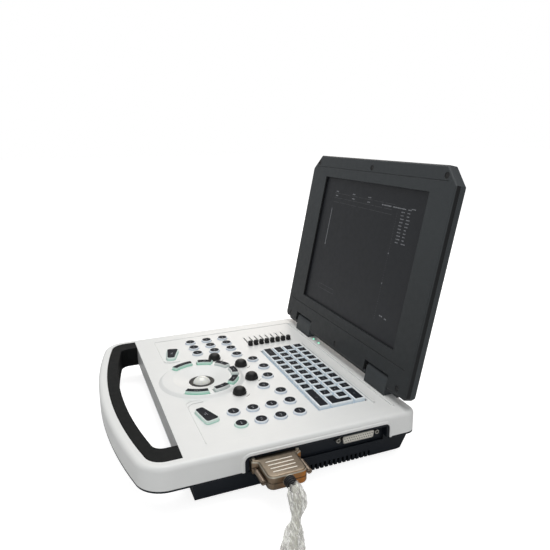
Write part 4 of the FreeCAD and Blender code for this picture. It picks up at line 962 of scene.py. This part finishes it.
def screen_marks():
    """A generic instrument screen: header strips, a settings column, a depth scale and a grey bar."""
    form = Form()
    chance = random.Random(11)
    level = -3.25
    for y in (216.0, 209.5, 203.5):
        x = -88.0
        while x < 60:
            length = chance.uniform(8, 26)
            bar(form, x + length / 2, y, length, 0.35, 0, level, 0, 0.03)
            x += length + chance.uniform(1, 5)
    for x in (-84, -38, 2):
        for y in (218.5, 212.5):
            dashes(form, x, y, 6, chance, level)
    dashes(form, 36, 213, 20, chance, level)
    dashes(form, 60, 213, 22, chance, level)
    for row in range(11):
        y = 213.0 - row * 4.0
        dashes(form, 79, y, 6, chance, level, 1.1)
        dashes(form, 91, y, 3 + 4 * chance.random(), chance, level, 1.1)
    dashes(form, 97, 214.5, 8, chance, level, 1.1)
    for step in range(44):
        y = 206 - step * 3.0
        bar(form, 71, y, 0.5, 1.3 if step % 10 else 2.0, 0, level, 0, 0.03)
    for y in (158.0, 121.0):
        bar(form, 71, y, 1.6, 1.6, 0, level, 1, 0.03)
    dashes(form, 80, 83, 5, chance, level)
    dashes(form, 91, 82, 4, chance, level)
    frame_sides = ((-60, 83.5, 44, 0.4), (-60, 77.5, 44, 0.4), (-82, 80.5, 0.4, 6), (-38, 80.5, 0.4, 6))
    for x, y, wide, tall in frame_sides:
        bar(form, x, y, wide, tall, 0, level, 0, 0.03)
    bar(form, -88, 168, 1.1, 52, 0, level, 1, 0.03)
    bar(form, -88, 141.5, 2.4, 1.4, 0, level, 1, 0.03)
    looks = [LOOKS["screen_line"], LOOKS["screen_light"]]
    new_piece("screen_marks", form, "lid", looks, lid_frame())


def dashes(form, x, y, length, chance, level, tall=1.4):
    """A row of tiny blocks that stands for a line of small print."""
    end = x + length
    while x < end:
        width = chance.uniform(0.8, 2.0)
        bar(form, x + width / 2, y, width, tall, 0, level, 1, 0.03)
        x += width + chance.uniform(0.5, 1.0)


# ---------------------------------------------------------------- connector bay and plug


def socket_faces():
    """The cream contact face of each socket, with 25 dark discs standing for its holes as painted shade."""
    form = Form()
    for low, high in solids("probe_sockets"):
        centre = (low + high) / 2
        face = high.x + 0.12
        corners = [(-17.2, -3.4), (17.2, -3.4), (18.6, 3.4), (-18.6, 3.4)]
        outline = lambda inset: rounded(corners, 1.8, inset, 4)
        turn = Matrix(((0, 0, 1), (1, 0, 0), (0, 1, 0))).to_4x4()
        place = Matrix.Translation(Vector((0, centre.y, centre.z))) @ turn
        part = Form()
        part.stack(outline, [(face - 1.2, 0, 0), (face - 0.2, 0, 0), (face, 0.2, 0)])
        for row, count in ((1.42, 13), (-1.42, 12)):
            for number in range(count):
                across = 2.76 * (number - (count - 1) / 2)
                # Each hole is a dark disc, painted shade where the open hole would be.
                part.turned((across, row, face - 0.3), [(0.62, 0), (0.62, 0.34), (0.5, 0.36)], 14, 1)
        shift = len(form.points)
        form.points += [tuple(place @ Vector(point)) for point in part.points]
        form.faces += [tuple(corner + shift for corner in face_) for face_ in part.faces]
        form.looks += part.looks
    new_piece("socket_faces", form, "base", [LOOKS["insert_cream"], LOOKS["painted_hole_shade"]])


def hood_outline(start, end, centre, inset):
    """The hood's plan: wide ears at the flange, a body with round front corners."""
    half = 26.3
    right = [(start + 7.6, half), (start + 10.4, 20.5), (end, 20.4)]
    corners = [(start, centre - half)]
    corners += [(x, centre - y) for x, y in right]
    corners += [(x, centre + y) for x, y in reversed(right)]
    corners += [(start, centre + half)]
    return rounded(corners, [1.0, 1.6, 2.0, 7.2, 7.2, 2.0, 1.6, 1.0], inset, 8)


def plug_hood():
    """Two cast halves that meet in a fine groove, with pale ribs across the top."""
    low, high = box_mm("hood_upper")
    lower, _ = box_mm("hood_lower")
    centre = (low.y + high.y) / 2
    middle = (lower.z + high.z) / 2
    for node, sign in (("hood_upper", 1), ("hood_lower", -1)):
        form = Form()
        reach = high.z - middle
        heights = [(0.1, 0.5), (0.45, 0.0), (reach - 2.0, 0.15), (reach - 0.7, 0.75),
                   (reach - 0.15, 1.7), (reach, 2.6)]
        # Look 2 on the band just below the top edge paints a highlight along that edge.
        levels = [(middle + sign * height, inset, 2 if inset == 0.75 else 0) for height, inset in heights]
        if sign < 0:
            levels.reverse()
        form.stack(lambda inset: hood_outline(low.x, high.x, centre, inset), levels)
        if sign > 0:
            for number in range(4):
                x = low.x + 14.5 + 5.6 * number
                block_low = Vector((x - 0.65, centre - 14.5 + 0.4 * number, high.z - 0.2))
                form.block(block_low, Vector((x + 0.65, centre + 13.5 - 0.6 * number, high.z + 0.45)), 1, 0.3)
            for side in (-1, 1):
                place = (low.x + 4.4, centre + side * 23.2, high.z)
                form.turned(place, [(1.9, -0.2), (1.9, 0.6), (1.5, 0.95), (0.3, 1.0)], 20, 2)
        looks = [LOOKS["bronze"], LOOKS["rib_pale"], LOOKS["screw_metal_and_painted_edge_highlight"]]
        item = new_piece(f"{node}_cast", form, "probe_plug", looks)
        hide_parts(node)


def strain_relief():
    low, high = box_mm("strain_relief")
    middle = (low + high) / 2
    form = Form()
    profile = [(4.6, 0.0), (4.6, 4.0), (6.1, 4.2), (6.3, 4.8), (6.3, 6.6), (6.0, 7.2)]
    level = 7.4
    radius = 5.9
    while level < high.x - low.x - 1.6:
        groove = radius - 1.0
        profile += [(groove, level), (groove, level + 0.7), (radius, level + 1.0), (radius, level + 2.0)]
        level += 2.5
        radius -= 0.28
    profile += [(radius - 0.6, level), (radius - 0.9, high.x - low.x)]
    looks = [1 if height < 6.8 else 0 for _, height in profile]
    turn = Matrix.Rotation(math.pi / 2, 4, "Y")
    form.turned((0, 0, 0), profile, 40, 0, looks)
    place = Matrix.Translation(Vector((low.x, middle.y, middle.z))) @ turn
    looks = [LOOKS["relief_black"], LOOKS["collar_pale"]]
    item = new_piece("strain_relief_ribbed", form, "probe_plug", looks, place)
    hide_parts("strain_relief")


CABLE_TURN = 24.0
CABLE_DROP_LENGTH = 44.0
CABLE_SIDESTEP = 21.0
SLEEVE_RADIUS = 7.0


def cable_path(count=120):
    """The cable's centre line: straight out of the plug, a droop to the desk, and along it."""
    low, high = box_mm("strain_relief")
    centre = (low + high) / 2
    leave = Vector((high.x + 0.6, centre.y, centre.z))
    heading = Vector((math.cos(math.radians(CABLE_TURN)), -math.sin(math.radians(CABLE_TURN)), 0))
    land = Vector((leave.x + CABLE_DROP_LENGTH, centre.y - CABLE_SIDESTEP, SLEEVE_RADIUS + FLOOR))
    poles = [leave, leave + Vector((14, 0, 0)), land - heading * 24, land]
    path = [Vector((low.x - 12, centre.y, centre.z)), Vector((low.x, centre.y, centre.z))]
    for step in range(count):
        t = step / (count - 1)
        weights = ((1 - t) ** 3, 3 * t * (1 - t) ** 2, 3 * t * t * (1 - t), t ** 3)
        path.append(sum((pole * weight for pole, weight in zip(poles, weights)), Vector()))
    for step in range(1, 66):
        path.append(land + heading * step)
    return path


def probe_cable():
    path = cable_path()
    chance = Vector((3.1, 7.7, 1.3))

    def radius(step, turn):
        place = path[step] * 0.12 + chance
        return 3.7 + 0.12 * noise.noise(place + Vector((math.cos(turn), math.sin(turn), 0)) * 0.4)

    form = Form()
    form.tube(path, radius, 28)
    item = new_piece("probe_cable_jacket", form, "probe_plug", [LOOKS["cable_cream"]])
    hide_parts("probe_cable")


def film_sleeve():
    """Clear film bunched round the cable, tied a little way down and spreading after the tie."""
    path = cable_path(200)[2:]
    lengths = [0.0]
    for one, two in zip(path, path[1:]):
        lengths.append(lengths[-1] + (two - one).length)
    tie = 27.0
    count = 144

    def girth(distance):
        """The film's mean radius at a distance from the plug."""
        bulge = 2.2 * math.exp(-((distance - 9) / 9) ** 2)
        pinch = 1 - 0.36 * math.exp(-((distance - tie) / 6) ** 2)
        spread = 4.6 / (1 + math.exp(-(distance - tie - 16) / 7))
        return (5.7 + bulge + spread) * pinch

    def radius(step, turn):
        distance = lengths[step]
        mean = girth(distance)
        twist = 0.02 * distance
        folds = 0.0
        for waves, size, phase in ((4, 0.34, 0.4), (7, 0.30, 1.9), (12, 0.20, 4.0), (19, 0.10, 2.2)):
            swing = waves * (turn + twist * (1 + 0.2 * waves / 5)) + phase + 0.035 * distance
            folds += size * math.sin(swing)
        place = Vector((distance * 0.06, math.cos(turn) * 2.0, math.sin(turn) * 2.0))
        crumple = noise.fractal(place, 0.9, 2.1, 4)
        value = mean * (0.98 + 0.30 * folds + 0.20 * crumple)
        return max(value, 4.05)

    form = Form()
    form.tube(path, radius, count, caps=False)
    for index, point in enumerate(form.points):
        form.points[index] = (point[0], point[1], max(point[2], FLOOR + 0.2))
    item = new_piece("cable_film", form, "probe_plug", [LOOKS["film_clear"]])
    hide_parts("cable_sleeve")


# ---------------------------------------------------------------- stage


def seen_by_camera(tree):
    """1 on rays that come straight from the camera and 0 on light bounced by the object."""
    return tree.nodes.new("ShaderNodeLightPath").outputs["Is Camera Ray"]


def floor_look():
    """A pale sheet that the camera sees almost white, with the object's soft shadow on it."""
    look = moulded("floor_pale", (0.62, 0.62, 0.62), 0.8, 4.0, 0.0, 0.004)
    look.put("Emission Color", (1.0, 1.0, 1.0, 1.0))
    boost = look.ramp(seen_by_camera(look.tree), 0, 1, 0.0, 0.82)
    look.put("Emission Strength", boost)
    look.put("Specular IOR Level", 0.0)
    return look.material


def stage():
    bpy.ops.mesh.primitive_plane_add(size=16, location=(0, 0, FLOOR * MM - 0.0002))
    floor = bpy.context.object
    floor.name = "floor"
    floor.data.materials.append(floor_look())


def area_light(name, place, target, size, power, color):
    data = bpy.data.lights.new(name, "AREA")
    data.shape = "RECTANGLE"
    data.size = size[0]
    data.size_y = size[1]
    data.energy = power
    data.color = color
    item = bpy.data.objects.new(name, data)
    bpy.context.scene.collection.objects.link(item)
    item.location = place
    direction = Vector(target) - Vector(place)
    item.rotation_mode = "QUATERNION"
    item.rotation_quaternion = direction.to_track_quat("-Z", "Y")


SKY_FOR_CAMERA, SKY_FOR_OBJECT = 1.0, 0.42


def lights():
    world = bpy.data.worlds.new("studio")
    bpy.context.scene.world = world
    world.use_nodes = True
    tree = world.node_tree
    background = tree.nodes["Background"]
    background.inputs["Color"].default_value = (1.0, 1.0, 1.0, 1.0)
    strength = tree.nodes.new("ShaderNodeMapRange")
    tree.links.new(seen_by_camera(tree), strength.inputs["Value"])
    strength.inputs["To Min"].default_value = SKY_FOR_OBJECT
    strength.inputs["To Max"].default_value = SKY_FOR_CAMERA
    tree.links.new(strength.outputs["Result"], background.inputs["Strength"])
    middle = (0.0, 0.0, 0.05)
    area_light("key_above", (-0.45, 0.2, 1.85), middle, (1.5, 1.5), 22.5, (1.0, 0.995, 0.985))
    area_light("warm_left", (-1.6, 0.7, 0.8), middle, (0.9, 0.9), 4, (1.0, 0.88, 0.78))
    area_light("fill_right", (1.7, -0.5, 0.6), middle, (1.2, 1.2), 6, (0.98, 0.99, 1.0))


CAMERA_PLACE = (0.6132, -0.1840, 0.3437)
CAMERA_RIGHT = (0.3735, 0.9276, -0.0106)
CAMERA_DOWN = (0.2310, -0.1041, -0.9674)
CAMERA_AHEAD = (-0.8984, 0.3589, -0.2532)
CAMERA_LENS = 35.68


def camera():
    """The photograph's own viewpoint."""
    data = bpy.data.cameras.new("photo_camera")
    data.sensor_width = 36.0
    data.lens = CAMERA_LENS
    data.clip_start = 0.01
    item = bpy.data.objects.new("photo_camera", data)
    bpy.context.scene.collection.objects.link(item)
    axes = Matrix((Vector(CAMERA_RIGHT), -Vector(CAMERA_DOWN), -Vector(CAMERA_AHEAD))).transposed()
    item.matrix_world = Matrix.Translation(Vector(CAMERA_PLACE)) @ axes.to_4x4()
    bpy.context.scene.camera = item
    bpy.context.scene.view_settings.view_transform = "Standard"


dress_nodes()
key_rows()
enter_key()
round_buttons("buttons_left")
round_buttons("buttons_arc")
round_buttons("buttons_right", green=(1,))
arc_keys()
wedge_keys()
knobs()
sliders()
trackball()
panel_marks()
panel_ridges()
lid_lip()
screen_marks()
socket_faces()
plug_hood()
strain_relief()
probe_cable()
film_sleeve()
stage()
lights()
camera()
